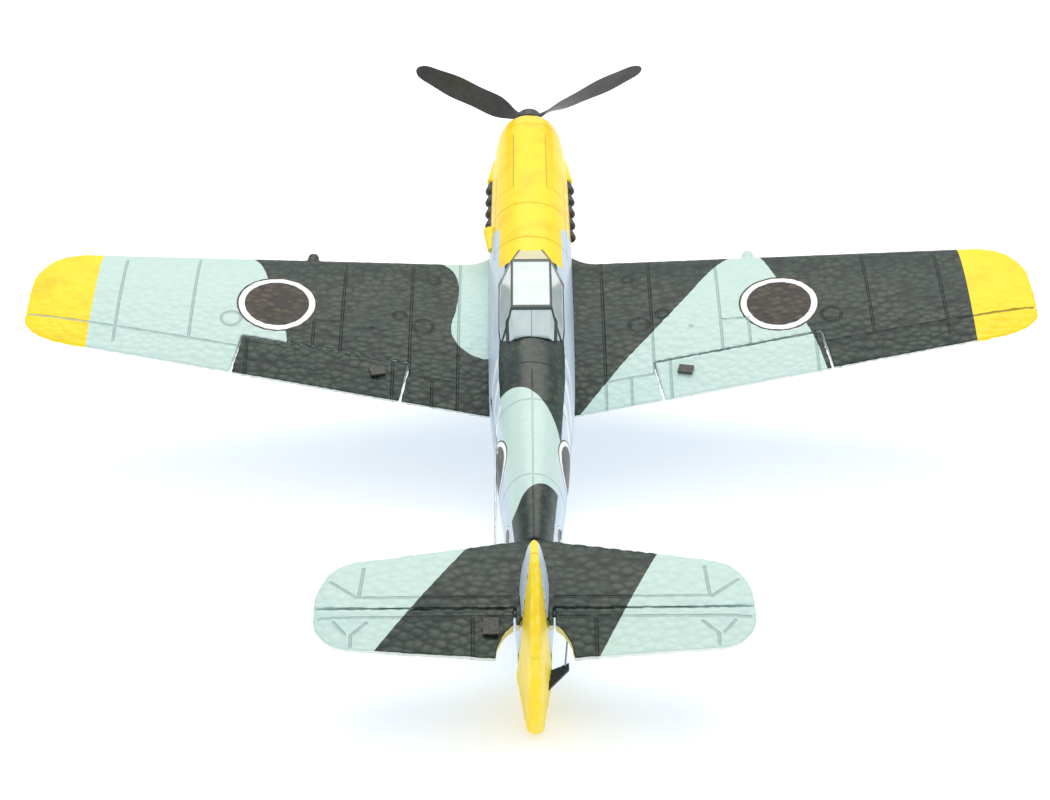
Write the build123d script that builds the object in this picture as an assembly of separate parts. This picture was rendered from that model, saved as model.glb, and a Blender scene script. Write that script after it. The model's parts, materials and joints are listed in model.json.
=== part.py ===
"""A small foam radio-controlled warbird, nose towards +Y, right wing towards +X, on its three wheels.

Every piece is drawn in a flight frame (thrust line at z = 0, stations counted aft of the spinner tip) and
then turned once into its tail-down stance on the ground.
"""

import math
import os

from build123d import *

# Fuselage: nose shape ahead of the cabin, then the tail cone as shares of its own length
nose_sections = [  # station, half width, top, bottom
    (9.3, 7.8, 5.2, -7.6),
    (12.0, 10.6, 7.4, -10.8),
    (17.0, 12.8, 9.8, -14.4),
    (26.5, 14.5, 12.4, -18.8),
    (36.0, 15.3, 14.0, -22.4),
    (50.0, 16.3, 15.8, -24.8),
    (70.0, 16.8, 17.2, -25.5),
    (92.0, 17.0, 18.3, -25.5),
    (120.0, 17.0, 19.0, -25.2),
    (146.0, 17.0, 19.8, -24.0),
    (172.0, 16.8, 21.6, -21.8),
]
cabin_end = 180.0
rudder_hinge = 322.0
tail_sections = [  # share of the tail cone, half width, top, bottom
    (0.09, 16.3, 22.2, -19.6),
    (0.26, 14.5, 21.6, -16.9),
    (0.43, 12.6, 20.8, -14.4),
    (0.57, 10.5, 20.2, -12.2),
    (0.71, 8.6, 19.7, -10.2),
    (0.85, 7.0, 19.3, -8.2),
    (1.0, 5.9, 19.0, -6.2),
]
section_power = 2.25
body_waist = -3.0  # height of the widest line of the body

# Wing
half_span = 200.0
root_half = 17.0
root_chord = 92.7
tip_chord = 51.0
wing_station = 93.4
wing_sweep = 13.2
wing_height = -11.9
dihedral = 5.9
wing_thickness = 0.105
wing_camber = 0.02
trailing_edge = 1.6
tip_length = 18.0
tip_front_cut = 20.0
tip_rear_cut = 9.0
tip_steps = (0.4, 0.65, 0.83, 0.94, 0.99)  # sections of a rounded tip, as shares of its length

flare_width = 10.0  # the faired root: how far out, how far forward and how much thicker
flare_reach = 4.5
flare_swell = 0.28
flare_steps = (0.15, 0.35, 0.6, 1.0)
radiator_x = (24.0, 46.0)
radiator_stations = (142.0, 166.0)
radiator_depth = 6.4
cannon_x = 90.0
cannon_reach = 1.7
cannon_radius = 2.5

# Ailerons
aileron_start = 48.9
aileron_length = 66.8
aileron_chord = 17.5
aileron_nose = 2.75
aileron_throw = 25.0
aileron_strips = (27.0, 50.0)
aileron_horn_place = 11.0

# Tail
elevator_hinge = rudder_hinge - 6.1
stab_station = elevator_hinge - 35.3
stab_half_span = 74.4
stab_sweep = 12.8
stab_chord = 56.0
stab_taper = 6.5
stab_height = 18.8
stab_thick = 5.0
stab_edge = 2.0
stab_tip_length = 12.0
stab_tip_front_cut = 18.0
stab_tip_rear_cut = 13.0
elevator_root = 6.9
elevator_nose = 2.5
elevator_strip = 48.0
joiner_radius = 0.8
joiner_half = 15.0
cutout_width = 6.4
cutout_start = elevator_hinge + 3.0
rudder_bottom = -6.6
rudder_top = 54.0
rudder_nose_low = 6.4
rudder_nose_high = 1.6
rudder_strips = (14.0, 44.0)
rudder_outline = [  # height, chord aft of the hinge, half thickness of the rear edge
    (-6.6, 24.2, 3.2),
    (-3.5, 25.5, 3.1),
    (15.0, 25.5, 2.5),
    (30.0, 22.5, 2.0),
    (40.0, 17.5, 1.7),
    (47.0, 11.5, 1.4),
    (51.0, 6.5, 1.2),
    (53.8, 2.6, 0.9),
]
fin_outline = [  # height, chord ahead of the rudder hinge, half width amidships
    (19.0, 37.0, 5.6),
    (22.0, 34.0, 5.0),
    (28.0, 29.0, 4.3),
    (36.0, 24.0, 3.5),
    (43.0, 18.0, 2.8),
    (48.6, 12.2, 2.1),
    (51.8, 7.4, 1.7),
    (53.4, 3.8, 1.3),
]

# Hinges, rods and their running clearances
gap = 0.4
strip_width = 8.0
strip_thick = 0.5
strip_depth = 9.0
bead_radius = 0.6
running_gap = 0.05
wire = 0.35
horn_thick = 1.0
hole_spacing = 1.8
aileron_arm = 6.5
elevator_arm = 7.0
rudder_arm = 10.3
elevator_horn_x = -14.5
rudder_horn_z = -0.5

# Servos: length, thickness and height of the case, and the shaft's distance from its front end
servo_length = 15.0
servo_thick = 7.0
servo_height = 11.0
servo_shaft_in = 4.0
servo_shaft = 1.2
servo_boss = 2.3
arm_offset = 0.2
aileron_servo_ahead = 33.0
elevator_servo_station = 154.0
elevator_servo_inset = 2.6
rudder_servo_station = 169.0
rudder_rod_x = 8.0
bay_front = 147.5
bay_rear = 187.0
bay_half_width = 14.1
tray_top = -3.0
tray_thick = 1.2

# Drive
shaft_radius = 0.75
hub_radius = 5.6
hub_front = 3.0
hub_rear = 8.4
blade_length = 56.3
blade_pitch = 78.0
blade_chords = [  # distance from the hub, chord, thickness
    (5.2, 5.0, 1.6),
    (12.0, 7.6, 1.5),
    (22.0, 9.4, 1.3),
    (33.0, 9.8, 1.1),
    (43.0, 9.0, 0.9),
    (51.0, 7.2, 0.8),
    (55.0, 4.6, 0.7),
]
gear_module = 0.4
spur_teeth = 38
pinion_teeth = 10
gear_front = 24.0
gear_width = 2.6
motor_radius = 4.25
motor_length = 20.0
nose_plate_front = 14.5
mount_front = 28.0
plate_thick = 1.8
plate_half_width = 5.4
plate_top = 4.5
bush_radius = 1.6
motor_boss = 1.9

# Nose details
stub_radius = 2.0

# Power
battery_size = (19.0, 36.0, 8.0)
battery_front = 52.5
battery_bottom = -17.4
hatch_inner = -18.0
hatch_half_width = 10.2
hatch_gap = 0.3
board_size = (17.0, 31.0, 1.2)

# Undercarriage
wheel_radius = 12.5
wheel_width = 5.4
wheel_x = 42.4
wheel_station = 84.0
axle_height = -57.0
leg_wire = 0.8
leg_top_station = 100.0
leg_top_x = 28.5
tail_wheel_radius = 5.0
tail_wheel_width = 3.6
tail_wheel_station = rudder_hinge - 37.0
tail_axle_height = -17.5
tail_wire = 0.6

# Canopy
canopy_front = 120.0
hood_front = 138.4
hood_rear = 167.0
canopy_rear = cabin_end - 2.6
hood_top = 28.0
hood_half_top = 7.6
hood_half_base = 12.8
canopy_wall = 1.0


def at(x, station, z):
    return Vector(x, -station, z)


def block(x, station, z):
    """A box between pairs of limits across, aft and up."""
    size = (x[1] - x[0], station[1] - station[0], z[1] - z[0])
    middle = at(sum(x) / 2, sum(station) / 2, sum(z) / 2)
    return Pos(middle) * Box(*size)


def rod(a, b, radius):
    """A round bar from point a to point b."""
    a, b = Vector(*a), Vector(*b)
    return Solid.make_cylinder(radius, (b - a).length, Plane(origin=a, z_dir=b - a))


def bent_wire(points, radius):
    """A round wire through the given points, with a ball at each bend."""
    shape = rod(points[0], points[1], radius)
    for start, end in zip(points[1:], points[2:]):
        shape += Pos(start) * Sphere(radius)
        shape += rod(start, end, radius)
    return shape


def mirrored(shape):
    return shape.mirror(Plane.YZ)


# Fuselage


def body_sections():
    tail = [(cabin_end + share * (rudder_hinge - cabin_end), w, t, b) for share, w, t, b in tail_sections]
    return nose_sections + tail


def body_wire(station, half_width, top, bottom):
    points = []
    for step in range(16):
        angle = math.radians(90 + 22.5 * step)
        across, up = math.cos(angle), math.sin(angle)
        reach = top - body_waist if up > 0 else body_waist - bottom
        x = half_width * math.copysign(abs(across) ** (2 / section_power), across)
        z = body_waist + reach * math.copysign(abs(up) ** (2 / section_power), up)
        points.append(at(0 if abs(x) < 1e-6 else x, station, z))
    return Wire([Edge.make_spline(points, periodic=True)])


def body_shape():
    return Part() + Solid.make_loft([body_wire(*section) for section in body_sections()])


def body_size(station):
    """Half width, top and bottom of the body at a station, read straight between sections."""
    sections = body_sections()
    for a, b in zip(sections, sections[1:]):
        if station <= b[0]:
            share = (station - a[0]) / (b[0] - a[0])
            return [p + (q - p) * share for p, q in zip(a[1:], b[1:])]
    return list(sections[-1][1:])


def exhaust_fairing():
    front, rear = 37.0, 52.5
    half, _, _ = body_size(rear)
    shape = Solid.make_loft(
        [
            Wire.make_circle(0.8, Plane(at(half - 1.2, front, 0.6), z_dir=(0, -1, 0))),
            Wire.make_circle(2.6, Plane(at(half - 0.4, rear, 0.6), z_dir=(0, -1, 0))),
        ],
        ruled=True,
    )
    return Part() + shape


def fuselage_body(wing, stab, inside):
    shape = body_shape()
    fairing = exhaust_fairing()
    shape = shape + fairing + mirrored(fairing)
    return shape - wing - stab - inside


# Wing


def foil(x_ratio):
    """Half thickness and camber height of the wing section, as shares of the chord."""
    r = x_ratio
    shape = 0.2969 * math.sqrt(r) - 0.126 * r - 0.3516 * r**2 + 0.2843 * r**3 - 0.1036 * r**4
    return 5 * wing_thickness * shape, 4 * wing_camber * r * (1 - r)


def wing_line(x):
    """Leading edge station, chord and chord-line height of the untrimmed wing at x."""
    share = (max(x, root_half) - root_half) / (half_span - root_half)
    chord = root_chord + (tip_chord - root_chord) * share
    height = wing_height + (x - root_half) * math.tan(math.radians(dihedral))
    return wing_station + wing_sweep * share, chord, height


def root_flare(x):
    """How much of the root fairing is left at x: none inside the body, all at its side, fading outboard."""
    if x < root_half:
        return 0.0
    return max(0.0, 1 - (x - root_half) / flare_width) ** 2


def wing_wire(x):
    front, chord, height = wing_line(x)
    rear = front + chord
    tip = max(0.0, (x - (half_span - tip_length)) / tip_length)
    round_off = 1 - math.sqrt(1 - min(1.0, tip) ** 2)
    front += tip_front_cut * round_off
    rear -= tip_rear_cut * round_off
    thick = chord * math.sqrt(1 - 0.75 * tip**2) * (1 + flare_swell * root_flare(x))
    front -= flare_reach * root_flare(x)
    edge = trailing_edge / 2 * math.sqrt(1 - 0.5 * tip**2)
    ratios = (1.0, 0.82, 0.62, 0.42, 0.25, 0.12, 0.04, 0.008)
    upper, lower = [], []
    for r in ratios:
        half, camber = foil(r)
        half = half * thick + edge * r
        upper.append(at(x, front + (rear - front) * r, height + camber * thick + half))
        lower.append(at(x, front + (rear - front) * r, height + camber * thick - half))
    points = upper + [at(x, front, height)] + lower[::-1]
    return Wire([Edge.make_spline(points), Edge.make_line(points[-1], points[0])])


def wing_shape():
    tip_start = half_span - tip_length
    places = [0.0, root_half * 0.65, root_half] + [root_half + flare_width * u for u in flare_steps]
    places += [tip_start] + [tip_start + tip_length * u for u in tip_steps]
    right = Part() + Solid.make_loft([wing_wire(x) for x in places], ruled=True)
    return right + mirrored(right)


def hinge_plane(start, along, up):
    along = along.normalized()
    up = (up - along * up.dot(along)).normalized()
    return Plane(origin=start, x_dir=along, z_dir=up)


def aileron_point(x):
    front, chord, height = wing_line(x)
    ratio = 1 - aileron_chord / chord
    return at(x, front + chord * ratio, height + foil(ratio)[1] * chord)


def aileron_plane():
    """Hinge frame of the right aileron: x outboard along the hinge, y forward, z up."""
    start, end = aileron_point(aileron_start), aileron_point(aileron_start + aileron_length)
    return hinge_plane(start, end - start, Vector(0, 0, 1))


def elevator_plane():
    return Plane(origin=at(0, elevator_hinge, stab_height), x_dir=(1, 0, 0), z_dir=(0, 0, 1))


def rudder_plane():
    """Hinge frame of the rudder: x up along the hinge, y forward, z to the left."""
    return Plane(origin=at(0, rudder_hinge, rudder_bottom), x_dir=(0, 0, 1), z_dir=(-1, 0, 0))


def along_hinge(plane, u, radius, length):
    """A bar on the hinge line, centred at distance u."""
    return plane.location * Pos(u, 0, 0) * Rot(0, 90, 0) * Cylinder(radius, length)


def hinge_box(plane, u, v, w):
    size = (u[1] - u[0], v[1] - v[0], w[1] - w[0])
    return plane.location * Pos(sum(u) / 2, sum(v) / 2, sum(w) / 2) * Box(*size)


def hinge_strip(plane, u):
    """A plastic strip glued in the fixed side, with a bead that lies on the hinge line."""
    half = strip_width / 2
    web = hinge_box(plane, (u - half, u + half), (0, strip_depth), (-strip_thick / 2, strip_thick / 2))
    return web + along_hinge(plane, u, bead_radius, strip_width)


def strip_room(plane, u, nose):
    """What the moving side gives up so that a strip and its bead can swing inside it."""
    half = strip_width / 2 + gap
    reach = nose * math.tan(math.radians(aileron_throw)) + strip_thick
    mouth = hinge_box(plane, (u - half, u + half), (bead_radius * 0.6, nose + 1), (-reach, reach))
    return mouth + along_hinge(plane, u, bead_radius + running_gap, 2 * half)


def aileron_region(grow):
    """The wing behind the aileron hinge line, with the round nose, grown by a gap."""
    plane = aileron_plane()
    length = aileron_length + 2 * grow
    rear = hinge_box(plane, (-grow, aileron_length + grow), (-3 * aileron_chord, 0), (-12, 12))
    return rear + along_hinge(plane, aileron_length / 2, aileron_nose + grow, length)


def aileron(wing):
    plane = aileron_plane()
    shape = wing & aileron_region(0)
    for u in aileron_strips:
        shape -= strip_room(plane, u, aileron_nose)
    return shape


def radiator():
    """The shallow duct moulded under each wing root."""
    level = wing_line(sum(radiator_x) / 2)[2]
    return block(radiator_x, radiator_stations, (level - radiator_depth, level - 1.0))


def cannon():
    """The short gun fairing moulded on the leading edge."""
    front, _, height = wing_line(cannon_x)
    tip = at(cannon_x, front - cannon_reach, height)
    root = at(cannon_x, front + 10.0, height)
    return rod(tip, root, cannon_radius) + Pos(tip) * Sphere(cannon_radius)


# Tail surfaces


def stab_line(x):
    share = abs(x) / stab_half_span
    front = stab_station + stab_sweep * share
    return front, stab_station + stab_chord - stab_taper * share


def stab_wire(x):
    front, rear = stab_line(x)
    tip = max(0.0, (abs(x) - (stab_half_span - stab_tip_length)) / stab_tip_length)
    round_off = 1 - math.sqrt(1 - min(1.0, tip) ** 2)
    front += stab_tip_front_cut * round_off
    rear -= stab_tip_rear_cut * round_off
    half = stab_thick / 2 * math.sqrt(1 - 0.8 * tip**2)
    edge = stab_edge / 2 * math.sqrt(1 - 0.5 * tip**2)
    taper = edge + (half - edge) * 0.5
    shares = [(1.0, edge), (0.8, taper), (0.6, half * 0.97), (0.35, half)]
    shares += [(0.12, half * 0.86), (0.025, half * 0.48)]
    upper = [at(x, front + (rear - front) * r, stab_height + h) for r, h in shares]
    lower = [at(x, front + (rear - front) * r, stab_height - h) for r, h in shares]
    points = upper + [at(x, front, stab_height)] + lower[::-1]
    return Wire([Edge.make_spline(points), Edge.make_line(points[-1], points[0])])


def stab_shape():
    tip_start = stab_half_span - stab_tip_length
    side = [tip_start] + [tip_start + stab_tip_length * u for u in tip_steps]
    places = [-x for x in side[::-1]] + [0.0] + side
    return Part() + Solid.make_loft([stab_wire(x) for x in places], ruled=True)


def elevator_region(grow):
    """Everything of the tailplane that swings, on the right side."""
    plane = elevator_plane()
    inner, outer = elevator_root - grow, stab_half_span + 5
    rear = hinge_box(plane, (inner, outer), (-60, 0), (-8, 8))
    return rear + along_hinge(plane, (inner + outer) / 2, elevator_nose + grow, outer - inner)


def notch():
    """Plan of the notch: a quarter ellipse from the fin side to the rear edge."""
    start = at(0, cutout_start, stab_height - 8)
    depth = stab_line(0)[1] - cutout_start
    width = cutout_width * 2
    with BuildSketch(Plane(origin=start)) as plan:
        Ellipse(width, depth)
    shape = extrude(plan.sketch, amount=16)
    return Pos(0, -depth, 0) * shape


def elevator(stab):
    plane = elevator_plane()
    shape = (stab & elevator_region(0)) - notch()
    shape -= strip_room(plane, elevator_strip, elevator_nose)
    return shape - along_hinge(plane, 0, joiner_radius, 2 * joiner_half)


def rudder_nose_radius(z):
    share = (z - rudder_bottom) / (rudder_top - rudder_bottom)
    return rudder_nose_low + (rudder_nose_high - rudder_nose_low) * share


def rudder_nose(grow):
    """The cone that forms the rudder's front edge, about its hinge line."""
    low, high = rudder_bottom - grow, rudder_top + grow
    cone = Cone(rudder_nose_radius(low) + grow, rudder_nose_radius(high) + grow, high - low)
    return Pos(at(0, rudder_hinge, (low + high) / 2)) * cone


def rudder_wire(z, chord, edge):
    nose = rudder_nose_radius(z)
    corner = rudder_hinge + chord - edge
    left, right = at(-edge, corner, z), at(edge, corner, z)
    return Wire(
        [
            Edge.make_line(at(-nose, rudder_hinge, z), at(nose, rudder_hinge, z)),
            Edge.make_line(at(nose, rudder_hinge, z), right),
            Edge.make_three_point_arc(right, at(0, rudder_hinge + chord, z), left),
            Edge.make_line(left, at(-nose, rudder_hinge, z)),
        ]
    )


def rudder():
    shape = Part() + Solid.make_loft([rudder_wire(*row) for row in rudder_outline], ruled=True)
    front_half = block((-20, 20), (rudder_hinge - 20, rudder_hinge + 1), (rudder_bottom, rudder_outline[-1][0]))
    shape += rudder_nose(0) & front_half
    plane = rudder_plane()
    for u in rudder_strips:
        shape -= strip_room(plane, u, rudder_nose_radius(rudder_bottom + u))
    return shape


def fin_wire(z, chord, half):
    front = rudder_hinge - chord
    nose = rudder_nose_radius(z)
    side = [(0.06, 0.42), (0.25, 0.82), (0.55, 1.0)]
    right = [at(half * w, front + chord * r, z) for r, w in side] + [at(nose, rudder_hinge, z)]
    left = [at(-half * w, front + chord * r, z) for r, w in side] + [at(-nose, rudder_hinge, z)]
    points = right[::-1] + [at(0, front, z)] + left
    return Wire([Edge.make_spline(points), Edge.make_line(points[-1], points[0])])


def fin(body, stab):
    shape = Part() + Solid.make_loft([fin_wire(*row) for row in fin_outline], ruled=True)
    return shape - body - stab - rudder_nose(gap)


# Servos and linkages


def servo(plane):
    """A servo case with its shaft boss; the shaft lies on the frame's x axis, the case behind x = 0."""
    length = (-(servo_length - servo_shaft_in), servo_shaft_in)
    half = servo_thick / 2
    case = hinge_box(plane, (-servo_height - 1, -1), length, (-half, half))
    case += along_hinge(plane, -0.65, servo_boss, 0.7)
    return case - along_hinge(plane, -0.9, servo_shaft + running_gap, 1.6)


def servo_arm(plane, reach):
    """A servo arm and its shaft, pointing down the frame's -z, with one hole."""
    middle = arm_offset + horn_thick / 2
    arm = along_hinge(plane, middle, 2.0, horn_thick)
    arm += hinge_box(plane, (arm_offset, arm_offset + horn_thick), (-1.1, 1.1), (-reach, 0))
    tip = plane.location * Pos(middle, 0, -reach) * Rot(0, 90, 0)
    arm += tip * Cylinder(1.1, horn_thick)
    arm += along_hinge(plane, -0.6, servo_shaft, 1.2 + 2 * arm_offset)
    return arm - tip * Cylinder(wire + running_gap, 4)


def aileron_servo_plane():
    """The aileron servo's shaft, parallel to the aileron hinge and ahead of it."""
    plane = aileron_plane()
    x = aileron_start + aileron_horn_place
    front, chord, height = wing_line(x)
    hinge = aileron_point(x)
    station = -hinge.Y - aileron_servo_ahead
    ratio = (station - front) / chord
    middle = at(x, station, height + foil(ratio)[1] * chord - 0.4)
    local = plane.to_local_coords(middle)
    origin = plane.from_local_coords((aileron_horn_place - arm_offset - horn_thick / 2, local.Y, local.Z))
    return Plane(origin=origin, x_dir=plane.x_dir, z_dir=plane.z_dir)


def elevator_servo_plane():
    """The elevator servo's shaft points left, with the case standing on the tray."""
    z = tray_top + servo_length - servo_shaft_in
    shaft = at(elevator_horn_x + elevator_servo_inset, elevator_servo_station, z)
    return Plane(origin=shaft, x_dir=(-1, 0, 0), z_dir=(0, 1, 0))


def elevator_arm_plane():
    """The same shaft, with z up for the arm."""
    return Plane(origin=elevator_servo_plane().origin, x_dir=(-1, 0, 0), z_dir=(0, 0, 1))


def rudder_servo_plane():
    shaft = at(rudder_rod_x - rudder_arm, rudder_servo_station, tray_top + servo_height + 1)
    return Plane(origin=shaft, x_dir=(0, 0, 1), z_dir=(-1, 0, 0))


def horn(plane, u, reach, foot, rise, holes=2):
    """A triangular control horn: foot on the surface behind the hinge, hole beside the hinge line."""
    half = horn_thick / 2
    corners = [(1.4, -reach - 1.3), (-1.4, -reach - 1.3), (foot[1], rise), (foot[0], rise)]
    points = [plane.from_local_coords((u - half, v, w)) for v, w in corners]
    face = Face(Wire.make_polygon(points, close=True))
    shape = Part() + Solid.extrude(face, plane.x_dir * horn_thick)
    for number in range(holes):
        hole = plane.location * Pos(u, 0, hole_spacing * number - reach) * Rot(0, 90, 0)
        shape -= hole * Cylinder(wire + running_gap, 4)
    return shape


def horn_plate(plane, u, half, v, top, turn=0.0):
    """The small plate on the far side of the surface, which the horn's peg goes into."""
    middle = plane.location * Pos(u, sum(v) / 2, top - 0.45) * Rot(0, 0, turn)
    return middle * Box(2 * half, v[1] - v[0], 0.9)


def peg(plane, u, v, w):
    low, high = plane.from_local_coords((u, v, w[0])), plane.from_local_coords((u, v, w[1]))
    return rod(low, high, 0.6)


def aileron_rod():
    plane = aileron_plane()
    servo_at = plane.to_local_coords(aileron_servo_plane().origin)
    u = aileron_horn_place + horn_thick / 2 + wire + 0.1
    start = plane.from_local_coords((u, servo_at.Y, servo_at.Z - aileron_arm))
    end = plane.from_local_coords((u, 0, -aileron_arm))
    inward = plane.x_dir * -(horn_thick + 0.75)
    return bent_wire([start + inward, start, end, end + inward], wire)


def elevator_rod():
    x = elevator_horn_x + horn_thick / 2 + wire + 0.05
    arm = elevator_servo_plane().origin
    start = at(x, elevator_servo_station, arm.Z - elevator_arm)
    end = at(x, elevator_hinge, stab_height - elevator_arm)
    pin = Vector(horn_thick + 0.75, 0, 0)
    return bent_wire([start + pin, start, end, end - pin], wire)


def rudder_rod_points():
    top = rudder_servo_plane().origin.Z + arm_offset + horn_thick + wire + 0.1
    low = rudder_horn_z + horn_thick / 2 + wire + 0.1
    leave = rudder_hinge - 42.0
    out = rudder_hinge - 18.0
    return [
        at(rudder_rod_x, rudder_servo_station, top),
        at(rudder_rod_x, leave, low + 1.3),
        at(rudder_arm + 1.5, out, low),
        at(rudder_arm, rudder_hinge, low),
    ]


def rudder_rod():
    points = rudder_rod_points()
    pin = Vector(0, 0, -(horn_thick + 0.75))
    return bent_wire([points[0] + pin] + points + [points[-1] + pin], wire)


# Drive train


def prop_bar(front, rear, radius, z=0.0):
    return rod(at(0, front, z), at(0, rear, z), radius)


def motor_drop():
    return gear_module * (spur_teeth + pinion_teeth) / 2 + 0.04


def gear(teeth, front, width, z, bore, turn=0.0):
    """A spur gear with straight-sided teeth, its axis along the thrust line."""
    pitch = gear_module * teeth / 2
    rows = [(pitch - 0.5, 0.32), (pitch, 0.23), (pitch + 0.34, 0.09)]
    points = []
    for tooth in range(teeth):
        middle = 2 * math.pi * tooth / teeth + math.radians(turn)
        for side, order in ((-1, rows), (1, rows[::-1])):
            for radius, half in order:
                angle = middle + side * half / radius
                points.append(at(radius * math.cos(angle), front, z + radius * math.sin(angle)))
    face = Face(Wire.make_polygon(points, close=True))
    shape = Part() + Solid.extrude(face, Vector(0, -width, 0))
    return shape - prop_bar(front - 1, front + width + 1, bore, z)


def blade():
    """One propeller blade along +z, turning clockwise seen from behind."""
    sections = []
    for radius, chord, thick in blade_chords + [(blade_length, 1.6, 0.5)]:
        pitch = math.atan(blade_pitch / (2 * math.pi * radius))
        along = Vector(math.cos(pitch), math.sin(pitch), 0)
        back = Vector(math.sin(pitch), -math.cos(pitch), 0)
        middle = at(0, (hub_front + hub_rear) / 2 + 0.4, radius)
        lead, trail = middle + along * (chord / 2), middle - along * (chord / 2)
        bow = chord * 0.07
        face = Edge.make_three_point_arc(lead, middle - back * (bow + thick / 2), trail)
        rear = Edge.make_three_point_arc(trail, middle - back * (bow - thick / 2), lead)
        sections.append(Wire([face, rear]))
    return Part() + Solid.make_loft(sections)


def propeller():
    hub = prop_bar(hub_front + 1.2, hub_rear, hub_radius)
    front = Plane(at(0, hub_front + 1.2, 0), z_dir=(0, 1, 0))
    hub += Solid.make_cone(hub_radius, hub_radius - 1.6, 1.2, front)
    for turn in (60, -60, 180):
        hub += blade().rotate(Axis.Y, turn)
    return hub - prop_bar(-1, hub_rear + 1, shaft_radius)


def prop_nut():
    flats = extrude(RegularPolygon(2.4, 6), 1.6)
    nut = Pos(at(0, hub_front, 0)) * Rot(90, 0, 0) * Pos(0, 0, -1.6) * flats
    nut += Pos(at(0, hub_front - 1.6, 0)) * Sphere(1.3)
    return nut - prop_bar(hub_front - 1.8, hub_front + 1, shaft_radius)


def prop_shaft():
    return prop_bar(hub_front - 1.8, mount_front + plate_thick + 1.4, shaft_radius)


def nose_plate():
    """The front bearing plate, let into the foam nose."""
    return nose_room() - prop_bar(0, 40, bush_radius)


def motor_mount():
    """The rear plate that holds the second bearing and the motor."""
    return mount_room() - prop_bar(0, 60, bush_radius) - prop_bar(0, 60, motor_boss, -motor_drop())


def shaft_bushes():
    bushes = []
    for front in (nose_plate_front, mount_front):
        bush = prop_bar(front - 0.3, front + plate_thick + 0.3, bush_radius)
        bushes.append(bush - prop_bar(0, 60, shaft_radius + 0.03))
    return bushes


def motor():
    front = mount_front + plate_thick
    can = prop_bar(front, front + motor_length, motor_radius, -motor_drop())
    can += prop_bar(front - 1.2, front, motor_boss, -motor_drop())
    return can - prop_bar(0, front + 3, 0.54, -motor_drop())


def motor_shaft():
    return prop_bar(gear_front - 0.6, mount_front + plate_thick + 2.6, 0.5, -motor_drop())


# Power and radio


def battery():
    width, length, height = battery_size
    tall = (battery_bottom, battery_bottom + height)
    pack = block((-width / 2, width / 2), (battery_front, battery_front + length), tall)
    return fillet(pack.edges().filter_by(Axis.Y), 1.6)


def bay_top():
    return battery_bottom + battery_size[2] + 7.4


def board_tape():
    width, length, _ = board_size
    front = battery_front + 1
    return block((-width / 3, width / 3), (front + 3, front + length - 3), (bay_top() - 1.5, bay_top()))


def board():
    """The receiver and speed control board, parts side down, taped under the bay's roof."""
    width, length, thick = board_size
    front = battery_front + 1
    top = bay_top() - 1.5
    shape = block((-width / 2, width / 2), (front, front + length), (top - thick, top))
    chips = [(-4.5, 4, 7, 6, 1.4), (3, 5, 5, 5, 1.0), (-3, 17, 8, 5, 2.2), (4.5, 19, 5, 9, 2.6)]
    for x, s, w, l, h in chips:
        shape += block((x - w / 2, x + w / 2), (front + s, front + s + l), (top - thick - h, top - thick))
    return shape


def hatch_box(grow):
    rear = battery_front + battery_size[1] + 2
    x = hatch_half_width + grow
    return block((-x, x), (battery_front - 2 - grow, rear + grow), (-40, hatch_inner))


def battery_bay():
    width, length, _ = battery_size
    half = width / 2 + 0.4
    stations = (battery_front - 0.5, battery_front + length + 0.5)
    return block((-half, half), stations, (hatch_inner - 1, bay_top()))


# Nose details


def exhausts():
    """A row of five exhaust stubs on one backing strip, right side."""
    half = body_size(70)[0]
    shape = block((half - 1.8, half - 0.5), (53.0, 91.5), (-1.6, 2.4))
    for number in range(5):
        station = 55.5 + 8.0 * number
        tip = at(half + 0.2, station + 2.2, 0.2)
        shape += rod(at(half - 1.2, station - 1.6, 0.6), tip, stub_radius) + Pos(tip) * Sphere(stub_radius)
    return shape


def intake(body):
    """The air intake on the left of the nose."""
    front, rear = at(-16.7, 91.5, 5.2), at(-16.3, 103.5, 4.8)
    mouth = Wire.make_circle(2.8, Plane(front, z_dir=rear - front))
    end = Wire.make_circle(1.3, Plane(rear, z_dir=rear - front))
    shape = Part() + Solid.make_loft([mouth, end])
    return shape - rod(front - (rear - front) * 0.1, front + (rear - front) * 0.45, 1.9) - body


# Canopy


def canopy_wire(station, top, half_top, half_base, shoulder, low):
    half = [(half_top, top), (half_base, shoulder), (half_base, low)]
    points = [at(x, station, z) for x, z in half] + [at(-x, station, z) for x, z in half[::-1]]
    return Wire.make_polygon(points, close=True)


def canopy_shape(inset):
    base = hood_half_base - inset
    rows = [
        (canopy_front + 2 * inset, 18.4 - inset, 4.6 - inset / 2, 8.6 - inset, 14.4, 8),
        (hood_front, hood_top - inset, hood_half_top - inset / 2, base, 15.2, 8),
        (hood_rear, hood_top - inset, hood_half_top - inset / 2, base, 15.2, 8),
        (canopy_rear - 2 * inset, 22.4 - inset, 6.4 - inset / 2, base - 0.6, 14.6, 8),
    ]
    shape = Part()
    for a, b in zip(rows, rows[1:]):
        shape += Solid.make_loft([canopy_wire(*a), canopy_wire(*b)], ruled=True)
    return shape


def canopy(body):
    return canopy_shape(0) - canopy_shape(canopy_wall) - body


# Undercarriage


def leg_level():
    return wing_line(leg_top_x)[2] - 4.4


def gear_mount():
    level = leg_level()
    stations = (leg_top_station - 4.5, leg_top_station + 4.5)
    return block((leg_top_x - 9.5, leg_top_x + 2.5), stations, (level - 1.5, level + 2.2))


def gear_leg():
    level = leg_level()
    inner = wheel_x - wheel_width / 2 - leg_wire - 0.4
    return bent_wire(
        [
            at(leg_top_x - 8, leg_top_station, level),
            at(leg_top_x, leg_top_station, level),
            at(inner, wheel_station, axle_height),
            at(wheel_x + wheel_width / 2 + 2.0, wheel_station, axle_height),
        ],
        leg_wire,
    )


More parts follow.
